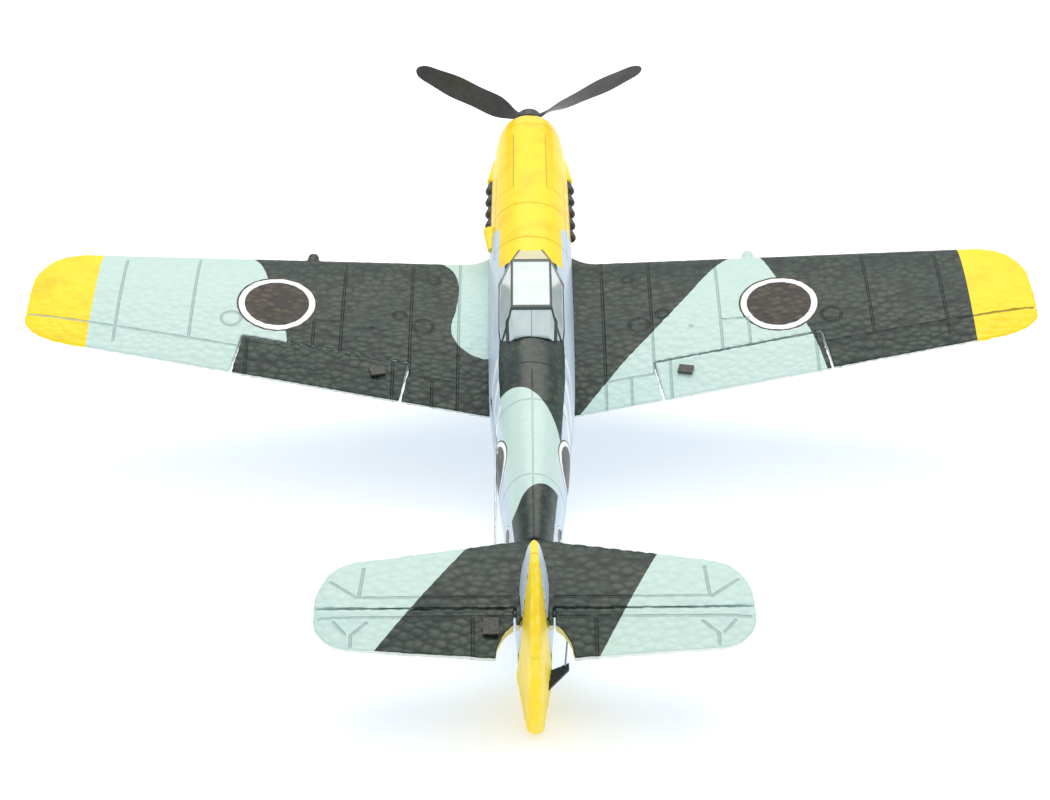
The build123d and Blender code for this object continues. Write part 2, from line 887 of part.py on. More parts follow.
def across(x, radius, station, z, width):
    return rod(at(x - width / 2, station, z), at(x + width / 2, station, z), radius)


def tyre():
    rim = wheel_radius * 0.58
    ring = Part() + across(wheel_x, wheel_radius, wheel_station, axle_height, wheel_width)
    ring = fillet(ring.edges(), wheel_width * 0.4)
    return ring - across(wheel_x, rim, wheel_station, axle_height, wheel_width + 1)


def wheel_hub():
    rim = wheel_radius * 0.58
    hub = Part() + across(wheel_x, rim, wheel_station, axle_height, wheel_width - 1.2)
    dish = across(wheel_x + wheel_width / 2, rim - 1.3, wheel_station, axle_height, 2.6)
    dish -= across(wheel_x + wheel_width / 2, 2.2, wheel_station, axle_height, 2.6)
    hub -= dish
    for number in range(6):
        angle = math.radians(60 * number)
        reach = (rim - 1.3 + 2.2) / 2
        station = wheel_station + reach * math.cos(angle)
        hub -= across(wheel_x, 0.9, station, axle_height + reach * math.sin(angle), 9)
    return hub - across(wheel_x, leg_wire + running_gap, wheel_station, axle_height, 12)


def tail_leg():
    side = tail_wheel_width / 2 + tail_wire + 0.3
    return bent_wire(
        [
            at(side, tail_wheel_station - 9, body_size(tail_wheel_station - 9)[2] + 4.5),
            at(side, tail_wheel_station - 7, body_size(tail_wheel_station - 7)[2] - 1.0),
            at(side, tail_wheel_station, tail_axle_height),
            at(-tail_wheel_width / 2 - 1.4, tail_wheel_station, tail_axle_height),
        ],
        tail_wire,
    )


def tail_wheel():
    wheel = Part() + across(0, tail_wheel_radius, tail_wheel_station, tail_axle_height, tail_wheel_width)
    wheel = fillet(wheel.edges(), tail_wheel_width * 0.35)
    return wheel - across(0, tail_wire + running_gap, tail_wheel_station, tail_axle_height, 9)


def collars():
    """The retaining collars on the three axle ends."""
    end = wheel_x + wheel_width / 2 + 1.2
    main = across(end, 2.0, wheel_station, axle_height, 1.6)
    main -= across(end, leg_wire, wheel_station, axle_height, 2)
    x = -tail_wheel_width / 2 - 0.9
    small = across(x, 1.5, tail_wheel_station, tail_axle_height, 1.0)
    small -= across(x, tail_wire, tail_wheel_station, tail_axle_height, 2)
    return [main, mirrored(main), small]


# Servo bay and channels in the foam


def servo_tray():
    return block((-bay_half_width, bay_half_width), (bay_front, bay_rear), (tray_top - tray_thick, tray_top))


def servo_bay():
    case_top = tray_top + servo_length + 0.6
    low = block((-bay_half_width, bay_half_width), (bay_front, bay_rear), (tray_top - tray_thick, 7.5))
    high = block((-11.8, 11.8), (bay_front, bay_rear), (7, case_top))
    arm = elevator_servo_plane().origin
    station = elevator_servo_station
    arm_room = block((arm.X - 1.7, arm.X + 1), (station - 3.4, station + 3.4), (7, arm.Z + 2.5))
    return low + high + arm_room


def channel(start, end, side, up):
    """A straight square passage from one point to another and 1 mm past both, with room at each side."""
    along = (end - start).normalized()
    start = start - along
    length = (end - start).length + 1
    plane = Plane(origin=start, x_dir=Vector(1, 0, 0), z_dir=along)
    size = (side[0] + side[1], 2 * up, length)
    return plane.location * Pos((side[1] - side[0]) / 2, 0, length / 2) * Box(*size)


def rod_channels():
    arm = elevator_servo_plane().origin
    x = elevator_horn_x + horn_thick / 2 + wire + 0.05
    start = at(x, elevator_servo_station, arm.Z - elevator_arm)
    end = at(x, elevator_hinge, stab_height - elevator_arm)
    exit_station = cabin_end + 0.45 * (rudder_hinge - cabin_end)
    exit_share = (exit_station - elevator_servo_station) / (elevator_hinge - elevator_servo_station)
    lift = elevator_arm * (1 - math.cos(math.radians(aileron_throw))) + 2 * wire + 0.6
    left = channel(start, start + (end - start) * exit_share, (2.0, 0.8), lift)
    points = rudder_rod_points()
    swing = rudder_arm * (1 - math.cos(math.radians(aileron_throw))) + wire + 0.4
    right = channel(points[0], points[1], (swing, 1.8), 1.5)
    right += channel(points[1], points[1] + (points[2] - points[1]) * 0.75, (swing + 1.6, 2.0), 1.5)
    return left + right


def drive_room():
    """Hollows in the foam nose for the gears, the motor and the bearing plates."""
    drop = motor_drop()
    tip = gear_module * spur_teeth / 2 + 0.34
    room = prop_bar(gear_front - 1.2, mount_front, tip + 0.9)
    room += prop_bar(gear_front - 1.2, mount_front, 3.4, -drop)
    room += prop_bar(5, mount_front + plate_thick + 2, 1.9)
    room += prop_bar(mount_front, mount_front + plate_thick + motor_length + 0.6, motor_radius, -drop)
    return room + nose_room() + mount_room()


def nose_room():
    """The front bearing plate's slot in the foam nose."""
    side = (-plate_top, plate_top)
    return block(side, (nose_plate_front, nose_plate_front + plate_thick), side)


def mount_room():
    low = -motor_drop() - motor_radius - 1
    sides = (-plate_half_width, plate_half_width)
    return block(sides, (mount_front, mount_front + plate_thick), (low, plate_top))


def inside():
    return drive_room() + battery_bay() + hatch_box(hatch_gap) + servo_bay() + rod_channels()


def ground_angle():
    """Nose-up angle at which main and tail wheels share one floor."""
    run = tail_wheel_station - wheel_station
    rise = tail_axle_height - axle_height
    drop = tail_wheel_radius - wheel_radius
    reach = math.hypot(run, rise)
    return math.degrees(math.asin(-drop / reach) + math.atan2(rise, run))


def stance(shift):
    """Flight frame to ground: nose up about the x axis, then moved so the wheels stand on z = 0."""
    return Pos(shift) * Rot(ground_angle(), 0, 0)


def floor_shift():
    angle = math.radians(ground_angle())
    low = -wheel_station * math.sin(angle) + axle_height * math.cos(angle) - wheel_radius
    return -low


# Assembly


def wing_kit():
    """The wing and everything carried by it, right-hand pieces first."""
    plane = aileron_plane()
    wing = wing_shape() + radiator() + mirrored(radiator()) + cannon() + mirrored(cannon())
    kit = {}
    flap = aileron(wing)
    u = aileron_horn_place
    control = horn(plane, u, aileron_arm, (-2.6, -8.6), -1.0) + peg(plane, u, -5.4, (-1.4, 2.4))
    plate = horn_plate(plane, u, 2.9, (-7.5, -3.3), 2.9, -24) - peg(plane, u, -5.4, (-1.4, 2.4))
    kit["aileron"] = flap - control - plate
    kit["aileron_horn"] = control
    kit["aileron_horn_plate"] = plate
    return wing, kit


def strip_set(plane, places):
    return [hinge_strip(plane, u) for u in places]


def spar():
    """A carbon rod in each wing half, at three tenths of the chord."""
    ends = []
    for x in (6.0, aileron_start + 58.0):
        front, chord, height = wing_line(x)
        ends.append(at(x, front + 0.3 * chord, height + foil(0.3)[1] * chord))
    return rod(ends[0], ends[1], 0.75)


def servo_room():
    """The pocket in the wing's underside for a servo, its arm and the start of the rod."""
    plane = aileron_servo_plane()
    half = servo_thick / 2
    length = (-(servo_length - servo_shaft_in), servo_shaft_in)
    room = hinge_box(plane, (-servo_height - 1, -1), length, (-9, half))
    return room + hinge_box(plane, (-1.05, 2.4), (-6.2, 6.2), (-9, 2.6))


def both_sides(name, shape):
    return {name + "_right": shape, name + "_left": mirrored(shape)}


def wing_pieces():
    wing, kit = wing_kit()
    plane = aileron_plane()
    strips = strip_set(plane, aileron_strips)
    servo_plane = aileron_servo_plane()
    one_side = [aileron_region(gap), servo_room(), gear_mount(), spar()] + strips
    fixed = wing
    for shape in one_side:
        fixed = fixed - shape - mirrored(shape)
    pieces = {"wing": fixed, "aileron_hinge_strips": strips + [mirrored(s) for s in strips]}
    for name, shape in kit.items():
        pieces |= both_sides(name, shape)
    case, mount = servo(servo_plane), gear_mount() - gear_leg()
    pieces["aileron_servos"] = [case, mirrored(case)]
    pieces["gear_mounts"] = [mount, mirrored(mount)]
    pieces |= both_sides("aileron_servo_arm", servo_arm(servo_plane, aileron_arm))
    pieces |= both_sides("aileron_pushrod", aileron_rod())
    pieces |= both_sides("gear_leg", gear_leg())
    pieces |= both_sides("main_tyre", tyre())
    pieces |= both_sides("main_wheel_hub", wheel_hub())
    pieces["wing_spars"] = [spar(), mirrored(spar())]
    return wing, pieces


def tail_pieces(body, stab):
    plane = elevator_plane()
    right, left = elevator(stab), mirrored(elevator(stab))
    u = elevator_horn_x
    control = horn(plane, u, elevator_arm, (-2.8, -9.4), -1.1) + peg(plane, u, -6.6, (-1.5, 2.5))
    plate = horn_plate(plane, u, 2.6, (-10.4, -3.2), 2.75) - peg(plane, u, -6.6, (-1.5, 2.5))
    strips = [hinge_strip(plane, elevator_strip), hinge_strip(plane, -elevator_strip)]
    fixed = stab - elevator_region(gap) - mirrored(elevator_region(gap))
    fixed = fixed - block((-20, 20), (rudder_hinge, rudder_hinge + 40), (0, 40)) - rudder_nose(gap)
    fixed -= along_hinge(plane, 0, joiner_radius + running_gap, 2 * joiner_half)
    swing = rudder_plane()
    rudder_hinges = strip_set(swing, rudder_strips)
    for strip in strips:
        fixed -= strip
    rise = rudder_horn_z - rudder_bottom
    rudder_control = horn(swing, rise, rudder_arm, (-2.5, -10.5), -4.2, holes=3)
    return {
        "tailplane": fixed,
        "elevator_right": right,
        "elevator_left": left - control - plate,
        "elevator_joiner": along_hinge(plane, 0, joiner_radius, 2 * joiner_half),
        "elevator_horn": control,
        "elevator_horn_plate": plate,
        "fin": fin(body, stab) - rudder_hinges[1],
        "rudder": rudder() - rudder_control,
        "rudder_horn": rudder_control,
        "tail_hinge_strips": strips + rudder_hinges,
        "elevator_servo": servo(elevator_servo_plane()),
        "elevator_servo_arm": servo_arm(elevator_arm_plane(), elevator_arm),
        "elevator_pushrod": elevator_rod(),
        "rudder_servo": servo(rudder_servo_plane()),
        "rudder_servo_arm": servo_arm(rudder_servo_plane(), rudder_arm),
        "rudder_pushrod": rudder_rod(),
    }


def drive_pieces():
    drop = motor_drop()
    pinion_turn = 90 + 180 / pinion_teeth
    spur_turn = -90
    return {
        "propeller": propeller(),
        "prop_nut": prop_nut(),
        "prop_shaft": prop_shaft(),
        "spur_gear": gear(spur_teeth, gear_front, gear_width, 0, shaft_radius, spur_turn),
        "pinion": gear(pinion_teeth, gear_front - 0.3, gear_width + 0.6, -drop, 0.5, pinion_turn),
        "motor": motor(),
        "motor_shaft": motor_shaft(),
        "motor_mount": motor_mount(),
        "nose_plate": nose_plate(),
        "shaft_bushes": shaft_bushes(),
    }


def body_pieces(wing, stab, tail):
    body = body_shape()
    stacks = exhausts()
    shape = fuselage_body(wing, stab, inside())
    shape = shape - rudder_nose(gap) - stacks - mirrored(stacks) - tail_leg() - tail["tail_hinge_strips"][2]
    return {
        "fuselage_left": shape & block((-60, 0), (-10, 500), (-60, 60)),
        "fuselage_right": shape & block((0, 60), (-10, 500), (-60, 60)),
        "battery_hatch": body & hatch_box(0),
        "battery": battery(),
        "radio_board": board(),
        "board_tape": board_tape(),
        "servo_tray": servo_tray(),
        "exhaust_stacks": [stacks, mirrored(stacks)],
        "air_intake": intake(body) - mirrored(stacks),
        "canopy": canopy(body),
        "tail_leg": tail_leg(),
        "tail_wheel": tail_wheel(),
        "axle_collars": collars(),
    }


def build():
    wing, pieces = wing_pieces()
    stab = stab_shape()
    tail = tail_pieces(body_shape(), stab)
    pieces |= body_pieces(wing, stab, tail) | tail | drive_pieces()
    return pieces


def as_one(shape):
    solids = [s for part in (shape if isinstance(shape, list) else [shape]) for s in part.solids()]
    return Compound(solids) if len(solids) > 1 else solids[0]


def placed(pieces):
    """Every piece in the ground frame, centred on its bounding box in x and y."""
    turned = {name: stance(Vector(0, 0, floor_shift())) * as_one(shape) for name, shape in pieces.items()}
    box = Compound(list(turned.values())).bounding_box()
    centre = Vector(-(box.min.X + box.max.X) / 2, -(box.min.Y + box.max.Y) / 2, 0)
    return {name: Pos(centre) * shape for name, shape in turned.items()}, centre


def main():
    os.makedirs("parts", exist_ok=True)
    pieces, _ = placed(build())
    for name, shape in pieces.items():
        export_step(shape, f"parts/{name}.step")


if __name__ == "__main__":
    main()
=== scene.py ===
import functools
import json
import math

import bmesh
import bpy
import numpy as np
from mathutils import Matrix, Vector, noise


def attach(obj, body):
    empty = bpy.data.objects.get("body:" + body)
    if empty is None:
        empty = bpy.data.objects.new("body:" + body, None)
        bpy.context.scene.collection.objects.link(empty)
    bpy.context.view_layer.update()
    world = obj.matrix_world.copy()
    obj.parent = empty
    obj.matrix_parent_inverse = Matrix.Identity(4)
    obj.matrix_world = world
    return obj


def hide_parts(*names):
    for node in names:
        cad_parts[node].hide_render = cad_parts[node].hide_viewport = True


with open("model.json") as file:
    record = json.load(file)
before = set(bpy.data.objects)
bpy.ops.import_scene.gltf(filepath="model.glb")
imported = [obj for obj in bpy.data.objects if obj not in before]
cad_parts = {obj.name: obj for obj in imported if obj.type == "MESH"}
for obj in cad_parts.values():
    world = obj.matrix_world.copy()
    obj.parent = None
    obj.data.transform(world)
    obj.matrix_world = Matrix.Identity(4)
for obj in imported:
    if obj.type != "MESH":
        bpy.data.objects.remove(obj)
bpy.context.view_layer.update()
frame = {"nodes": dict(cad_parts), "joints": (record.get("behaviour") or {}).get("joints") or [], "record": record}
nodes = frame["nodes"]

# The plane is drawn in its own flight frame: x to the right wing, stations counted aft from the spinner, z up.
propSpin = next(joint for joint in frame["joints"] if joint["name"] == "propeller_spin")
noseAhead = Vector(propSpin["axis"]).normalized()
noseUp = math.atan2(noseAhead.z, noseAhead.y)
spinnerReach = 0.0084  # from the propeller's joint forward to station 0
noseTip = Vector(propSpin["pos_m"]) + noseAhead * spinnerReach
toFlight = Matrix.Scale(1000, 4) @ Matrix.Rotation(-noseUp, 4, "X") @ Matrix.Translation(-noseTip)
toGround = toFlight.inverted()


def atStation(x, station, z):
    return toGround @ Vector((x, -station, z))


def shade(red, green, blue):  # screen colour, 0 to 255, to the shader's linear one
    line = [c / 255 / 12.92 if c < 11 else ((c / 255 + 0.055) / 1.055) ** 2.4 for c in (red, green, blue)]
    return (*line, 1.0)


# Camera, light and floor

studio = {
    "cameraPlace": (-2.7, 809.2, 570.2),  # x, station, z
    "cameraDown": 42.59,
    "cameraRoll": -0.4,
    "lens": 75.45,
    "skyColour": (0.97, 0.985, 1, 1),
    "skyStrength": 0.84,
    "overheadPlace": (0.1, 0.1, 1.5),
    "overheadSize": (1.6, 1.2),
    "overheadPower": 3.0,
    "frontPlace": (0.1, 0.72, 1.25),
    "frontAim": (0, 0, 0.05),
    "frontSize": (1.5, 0.5),
    "frontPower": 8.0,
    "frontColour": (1, 0.93, 0.82),
    "floorHalf": 6,
    "floorColour": (0.93, 0.945, 0.955, 1),
    "floorSpeckle": (0.9, 0.9, 0.9, 1),
    "floorGlow": 0.22,
    "floorGlowColour": (0.96, 0.98, 1, 1),
}


def makeCamera():
    camera = bpy.data.objects.new("camera", bpy.data.cameras.new("camera"))
    bpy.context.scene.collection.objects.link(camera)
    camera.data.lens = studio["lens"]
    camera.data.sensor_width = 36
    camera.data.sensor_fit = "HORIZONTAL"
    camera.data.clip_end = 20
    look = Matrix.Rotation(math.radians(90 - studio["cameraDown"]) + noseUp, 4, "X")
    look = look @ Matrix.Rotation(math.radians(studio["cameraRoll"]), 4, "Z")
    camera.matrix_world = Matrix.Translation(atStation(*studio["cameraPlace"])) @ look
    bpy.context.scene.camera = camera


def makeLamp(name, aim, colour=(1, 1, 1)):
    lamp = bpy.data.objects.new(name, bpy.data.lights.new(name, "AREA"))
    bpy.context.scene.collection.objects.link(lamp)
    place = Vector(studio[name + "Place"])
    lamp.data.shape = "RECTANGLE"
    lamp.data.size, lamp.data.size_y = studio[name + "Size"]
    lamp.data.energy = studio[name + "Power"]
    lamp.data.color = colour
    lamp.location = place
    lamp.rotation_euler = (Vector(aim) - place).to_track_quat("-Z", "Y").to_euler()


def makeFloor():
    mesh = bpy.data.meshes.new("floor")
    floor = bpy.data.objects.new("floor", mesh)
    bpy.context.scene.collection.objects.link(floor)
    plan = bmesh.new()
    bmesh.ops.create_grid(plan, x_segments=8, y_segments=8, size=studio["floorHalf"])
    plan.to_mesh(mesh)
    plan.free()
    board = NodeBoard("floorPaint")
    speckle = board.noise(board.objectPoint(), 900, 2)
    colour = board.blend(board.maths("MULTIPLY", speckle, 0.03), studio["floorColour"], studio["floorSpeckle"])
    board.finish(colour, roughness=0.85)
    shader = next(node for node in board.tree.nodes if node.type == "BSDF_PRINCIPLED")
    shader.inputs["Emission Color"].default_value = studio["floorGlowColour"]
    shader.inputs["Emission Strength"].default_value = studio["floorGlow"]
    mesh.materials.append(board.material)


def makeStudio():
    world = bpy.data.worlds.new("studio")
    bpy.context.scene.world = world
    world.use_nodes = True
    background = world.node_tree.nodes["Background"]
    background.inputs["Color"].default_value = studio["skyColour"]
    background.inputs["Strength"].default_value = studio["skyStrength"]
    makeLamp("overhead", (0, 0, 0))
    makeLamp("front", studio["frontAim"], studio["frontColour"])
    makeFloor()
    bpy.context.scene.view_settings.view_transform = "Standard"


class NodeBoard:  # one material, with short calls for the nodes that draw its paint
    def __init__(self, name):
        self.material = bpy.data.materials.new(name)
        self.material.use_nodes = True
        self.tree = self.material.node_tree
        self.tree.nodes.clear()
        self.point = None

    def add(self, kind, **settings):
        node = self.tree.nodes.new(kind)
        for key, value in settings.items():
            setattr(node, key, value)
        return node

    def plug(self, socket, value):
        if isinstance(value, bpy.types.NodeSocket):
            self.tree.links.new(value, socket)
        elif isinstance(value, Vector):
            socket.default_value = value[:]
        else:
            socket.default_value = value

    def maths(self, kind, *values, clamp=False):
        node = self.add("ShaderNodeMath", operation=kind, use_clamp=clamp)
        for socket, value in zip(node.inputs, values):
            self.plug(socket, value)
        return node.outputs[0]

    def vectors(self, kind, *values):
        node = self.add("ShaderNodeVectorMath", operation=kind)
        for socket, value in zip(node.inputs, values):
            self.plug(socket, value)
        return node

    def objectPoint(self):
        return self.add("ShaderNodeTexCoord").outputs["Object"]

    def flightPoint(self):  # millimetres in the flight frame, with y = -station
        if self.point is None:
            node = self.add("ShaderNodeMapping", vector_type="POINT")
            node.inputs["Location"].default_value = toFlight.translation[:]
            node.inputs["Rotation"].default_value = (-noseUp, 0, 0)
            node.inputs["Scale"].default_value = (1000, 1000, 1000)
            self.plug(node.inputs["Vector"], self.objectPoint())
            self.point = node.outputs[0]
        return self.point

    def places(self):  # x, station, z
        split = self.add("ShaderNodeSeparateXYZ")
        self.plug(split.inputs[0], self.flightPoint())
        return split.outputs[0], self.maths("MULTIPLY", split.outputs[1], -1.0), split.outputs[2]

    def joined(self, x, y, z=0.0):
        node = self.add("ShaderNodeCombineXYZ")
        for socket, value in zip(node.inputs, (x, y, z)):
            self.plug(socket, value)
        return node.outputs[0]

    def stretched(self, vector, scale):
        return self.vectors("MULTIPLY", vector, Vector(scale)).outputs[0]

    def noise(self, vector, scale, detail=2.0, rough=0.5):
        node = self.add("ShaderNodeTexNoise")
        for name, value in (("Vector", vector), ("Scale", scale), ("Detail", detail), ("Roughness", rough)):
            self.plug(node.inputs[name], value)
        return node.outputs[0]

    def cells(self, vector, scale):
        node = self.add("ShaderNodeTexVoronoi")
        self.plug(node.inputs["Vector"], vector)
        self.plug(node.inputs["Scale"], scale)
        return node.outputs["Distance"]

    def above(self, value, edge, soft=0.12):  # 0 below the edge, 1 above it
        node = self.add("ShaderNodeMapRange", interpolation_type="SMOOTHSTEP")
        low = edge - soft if isinstance(edge, (int, float)) else self.maths("SUBTRACT", edge, soft)
        high = edge + soft if isinstance(edge, (int, float)) else self.maths("ADD", edge, soft)
        for index, entry in enumerate((value, low, high)):
            self.plug(node.inputs[index], entry)
        return node.outputs[0]

    def below(self, value, edge, soft=0.12):
        return self.maths("SUBTRACT", 1.0, self.above(value, edge, soft))

    def between(self, value, low, high, soft=0.12):
        return self.both(self.above(value, low, soft), self.below(value, high, soft))

    def both(self, *masks):
        total = masks[0]
        for mask in masks[1:]:
            total = self.maths("MULTIPLY", total, mask)
        return total

    def either(self, *masks):
        total = masks[0]
        for mask in masks[1:]:
            total = self.maths("MAXIMUM", total, mask)
        return total

    def blend(self, factor, a, b):
        node = self.add("ShaderNodeMix", data_type="RGBA")
        for index, value in ((0, factor), (6, a), (7, b)):
            self.plug(node.inputs[index], value)
        return node.outputs[2]

    def curveOf(self, value, points, low, high):  # a free curve through points, read along one axis
        inside = self.add("ShaderNodeMapRange")
        for index, entry in enumerate((value, points[0][0], points[-1][0])):
            self.plug(inside.inputs[index], float(entry) if isinstance(entry, (int, float)) else entry)
        node = self.add("ShaderNodeFloatCurve")
        self.plug(node.inputs["Value"], inside.outputs[0])
        span = points[-1][0] - points[0][0]
        curve = node.mapping.curves[0]
        for number, (place, reach) in enumerate(points):
            spot = ((place - points[0][0]) / span, (reach - low) / (high - low))
            if number in (0, len(points) - 1):
                curve.points[0 if number == 0 else -1].location = spot
            else:
                curve.points.new(*spot)
        node.mapping.update()
        return self.maths("MULTIPLY_ADD", node.outputs[0], high - low, low)

    def strokeDistance(self, point, strokes):  # shortest distance to any of the straight strokes
        best = None
        for start, end in strokes:
            along = Vector(end) - Vector(start)
            fromStart = self.vectors("SUBTRACT", point, Vector(start)).outputs[0]
            run = self.vectors("DOT_PRODUCT", fromStart, along).outputs["Value"]
            share = self.maths("MULTIPLY", run, 1 / along.length_squared, clamp=True)
            scaled = self.add("ShaderNodeVectorMath", operation="SCALE")
            self.plug(scaled.inputs[0], along)
            self.plug(scaled.inputs["Scale"], share)
            far = self.vectors("DISTANCE", fromStart, scaled.outputs[0]).outputs["Value"]
            best = far if best is None else self.maths("MINIMUM", best, far)
        return best

    def ringDistance(self, point, rings):  # shortest distance to any of the circles
        best = None
        for centre, radius in rings:
            far = self.vectors("DISTANCE", point, Vector(centre)).outputs["Value"]
            far = self.maths("ABSOLUTE", self.maths("SUBTRACT", far, radius))
            best = far if best is None else self.maths("MINIMUM", best, far)
        return best

    def bump(self, height, distance, strength=1.0, under=None):  # distance in metres
        node = self.add("ShaderNodeBump")
        node.inputs["Strength"].default_value = strength
        node.inputs["Distance"].default_value = distance
        self.plug(node.inputs["Height"], height)
        if under is not None:
            self.plug(node.inputs["Normal"], under)
        return node.outputs[0]

    def finish(self, colour, roughness, normal=None, metallic=0.0, coat=0.0, coatRoughness=0.2, sheen=0.0):
        shader = self.add("ShaderNodeBsdfPrincipled")
        for name, value in (("Base Color", colour), ("Roughness", roughness), ("Metallic", metallic)):
            self.plug(shader.inputs[name], value)
        shader.inputs["Coat Weight"].default_value = coat
        shader.inputs["Coat Roughness"].default_value = coatRoughness
        shader.inputs["Sheen Weight"].default_value = sheen
        if normal is not None:
            self.plug(shader.inputs["Normal"], normal)
        output = self.add("ShaderNodeOutputMaterial")
        self.tree.links.new(shader.outputs[0], output.inputs["Surface"])
        return self.material


makeCamera()
makeStudio()
print("studio set")


# Foam pieces: the moulded bead skin is real relief, worked into a fine even mesh of each solid


def evenMesh(sources, voxel, smooth):  # one closed, evenly divided skin around all the sources
    mesh = sources[0].data.copy()
    welded = bmesh.new()
    for source in sources:
        welded.from_mesh(source.data)
    bmesh.ops.remove_doubles(welded, verts=welded.verts, dist=2e-6)
    welded.to_mesh(mesh)
    welded.free()
    holder = bpy.data.objects.new("holder", mesh)
    bpy.context.scene.collection.objects.link(holder)
    remesh = holder.modifiers.new("remesh", "REMESH")
    remesh.mode = "VOXEL"
    remesh.voxel_size = voxel
    ease = holder.modifiers.new("ease", "SMOOTH")
    ease.factor = 0.5
    ease.iterations = smooth
    view = bpy.context.evaluated_depsgraph_get()
    done = bpy.data.meshes.new_from_object(holder.evaluated_get(view))
    bpy.data.objects.remove(holder)
    return done


def keepSide(mesh, side):
    half = bmesh.new()
    half.from_mesh(mesh)
    everything = half.verts[:] + half.edges[:] + half.faces[:]
    bmesh.ops.bisect_plane(half, geom=everything, dist=1e-7,
        plane_co=(0, 0, 0), plane_no=(-side, 0, 0), clear_outer=True)
    half.to_mesh(mesh)
    half.free()


def readPoints(mesh):
    flat = np.empty(len(mesh.vertices) * 3, dtype=np.float32)
    mesh.vertices.foreach_get("co", flat)
    return flat.reshape(-1, 3).astype(float)


def readNormals(mesh):
    flat = np.empty(len(mesh.vertices) * 3, dtype=np.float32)
    mesh.vertex_normals.foreach_get("vector", flat)
    return flat.reshape(-1, 3).astype(float)


def flightPlaces(points):
    turn = np.array(toFlight.to_3x3())
    return points @ turn.T + np.array(toFlight.translation)


def beadHeights(places, cell, stretch):  # 1 on top of a bead, near 0 in the valley between two
    heights = np.empty(len(places))
    scaled = places / cell * np.array(stretch)
    for index, spot in enumerate(scaled):
        near = noise.voronoi(Vector(spot))[0]
        dome = max(0.0, 1 - near[0] ** 2 * 1.5)
        valley = min(1.0, (near[1] - near[0]) * 2.2)
        heights[index] = 0.55 * dome + 0.45 * valley
    return heights


# voxel in metres, cell and relief in millimetres; joins names a second node under the same skin
foam = {
    "fuselage_left": dict(name="fuselageShell", joins="fuselage_right",
        voxel=0.00072, cell=2.8, relief=0.06, stretch=(1, 1, 1)),
    "tailplane": dict(name="tailplaneSkin", voxel=0.0006, cell=3.4, relief=0.42, stretch=(0.9, 1, 0.4)),
    "fin": dict(name="finSkin", voxel=0.0005, cell=2.6, relief=0.12, stretch=(0.4, 1, 1)),
    "rudder": dict(name="rudderSkin", voxel=0.0005, cell=2.6, relief=0.2, stretch=(0.4, 1, 0.5)),
}
for side in ("left", "right"):
    foam["elevator_" + side] = dict(name="elevatorSkin" + side.capitalize(),
        voxel=0.0005, cell=3.3, relief=0.36, stretch=(0.9, 1, 0.4))
for side in ("left", "right"):
    foam["aileron_" + side] = dict(name="aileronSkin" + side.capitalize(),
        voxel=0.0005, cell=3.0, relief=0.32, stretch=(0.85, 1, 0.4))
wingFoam = dict(voxel=0.00062, cell=3.0, relief=0.40, stretch=(0.8, 1, 0.3),
    rootHalf=17, panelSpan=183, frontEdge=93.4, sweep=13.2, fadeChord=22, leastRelief=0.3)


def raiseBeads(mesh, recipe):
    points, normals = readPoints(mesh), readNormals(mesh)
    places = flightPlaces(points)
    heights = beadHeights(places, recipe["cell"], recipe["stretch"])
    fade = np.ones(len(points))
    if recipe is wingFoam:  # longer, shallower ripples towards the leading edge
        share = np.clip((np.abs(places[:, 0]) - wingFoam["rootHalf"]) / wingFoam["panelSpan"], 0, 1)
        front = wingFoam["frontEdge"] + wingFoam["sweep"] * share
        fade = np.clip((-places[:, 1] - front) / wingFoam["fadeChord"], wingFoam["leastRelief"], 1)
    shift = (heights - 1) * recipe["relief"] / 1000 * fade
    moved = points + normals * shift[:, None]
    mesh.vertices.foreach_set("co", moved.astype(np.float32).ravel())
    tops = mesh.attributes.new("bead", "FLOAT", "POINT")
    tops.data.foreach_set("value", heights.astype(np.float32))
    mesh.shade_smooth()
    mesh.update()


def addPiece(name, mesh, body, slot, material, *stands):
    piece = bpy.data.objects.new(name, mesh)
    bpy.context.scene.collection.objects.link(piece)
    mesh.name = name
    mesh.materials.clear()
    mesh.materials.append(material)
    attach(piece, body)
    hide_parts(*stands)


# Foam paint

paint = {
    "dark": shade(18, 50, 44),
    # painted shade in the valleys between beads; the next two give a painted warm highlight on the bead tops
    "darkValleyShade": shade(5, 26, 23),
    "beadTopHighlight": shade(88, 90, 60),
    "beadTopHighlightShare": 0.4,
    "pale": shade(196, 222, 216),
    # painted shade in the bead valleys, also the panel-line tone on pale paint
    "paleValleyShadeAndLine": shade(190, 217, 211),
    "yellow": shade(255, 224, 14),
    "yellowDeep": shade(252, 206, 0),
    "sky": shade(206, 222, 236),
    "skyDeep": shade(192, 212, 228),
    "rawFoam": shade(232, 238, 236),
    "markDark": shade(22, 18, 14),
    "markHighlight": shade(72, 58, 32),
    "markPale": shade(246, 248, 248),
    "groove": shade(4, 16, 16),
    "paleGroove": shade(150, 182, 178),
}


def beadOf(board):
    node = board.add("ShaderNodeAttribute", attribute_name="bead")
    return node.outputs["Fac"]


def darkPaint(board, bead):
    patch = board.noise(board.flightPoint(), 0.045, 3)
    # bead valleys are painted darker as shade, and bead tops in some patches get a painted warm highlight
    ground = board.blend(board.above(bead, 0.45, 0.42), paint["darkValleyShade"], paint["dark"])
    warm = board.both(board.above(bead, 0.62, 0.36), board.above(patch, 0.5, 0.2))
    return board.blend(board.maths("MULTIPLY", warm, paint["beadTopHighlightShare"]), ground, paint["beadTopHighlight"])


def palePaint(board, bead):
    patch = board.noise(board.flightPoint(), 0.06, 3)
    # bead valleys are painted darker as shade
    ground = board.blend(board.above(bead, 0.5, 0.5), paint["paleValleyShadeAndLine"], paint["pale"])
    return board.blend(board.maths("MULTIPLY", patch, 0.25), ground, paint["pale"])


def yellowPaint(board):
    patch = board.noise(board.flightPoint(), 0.09, 3)
    return board.blend(board.above(patch, 0.6, 0.18), paint["yellow"], paint["yellowDeep"])


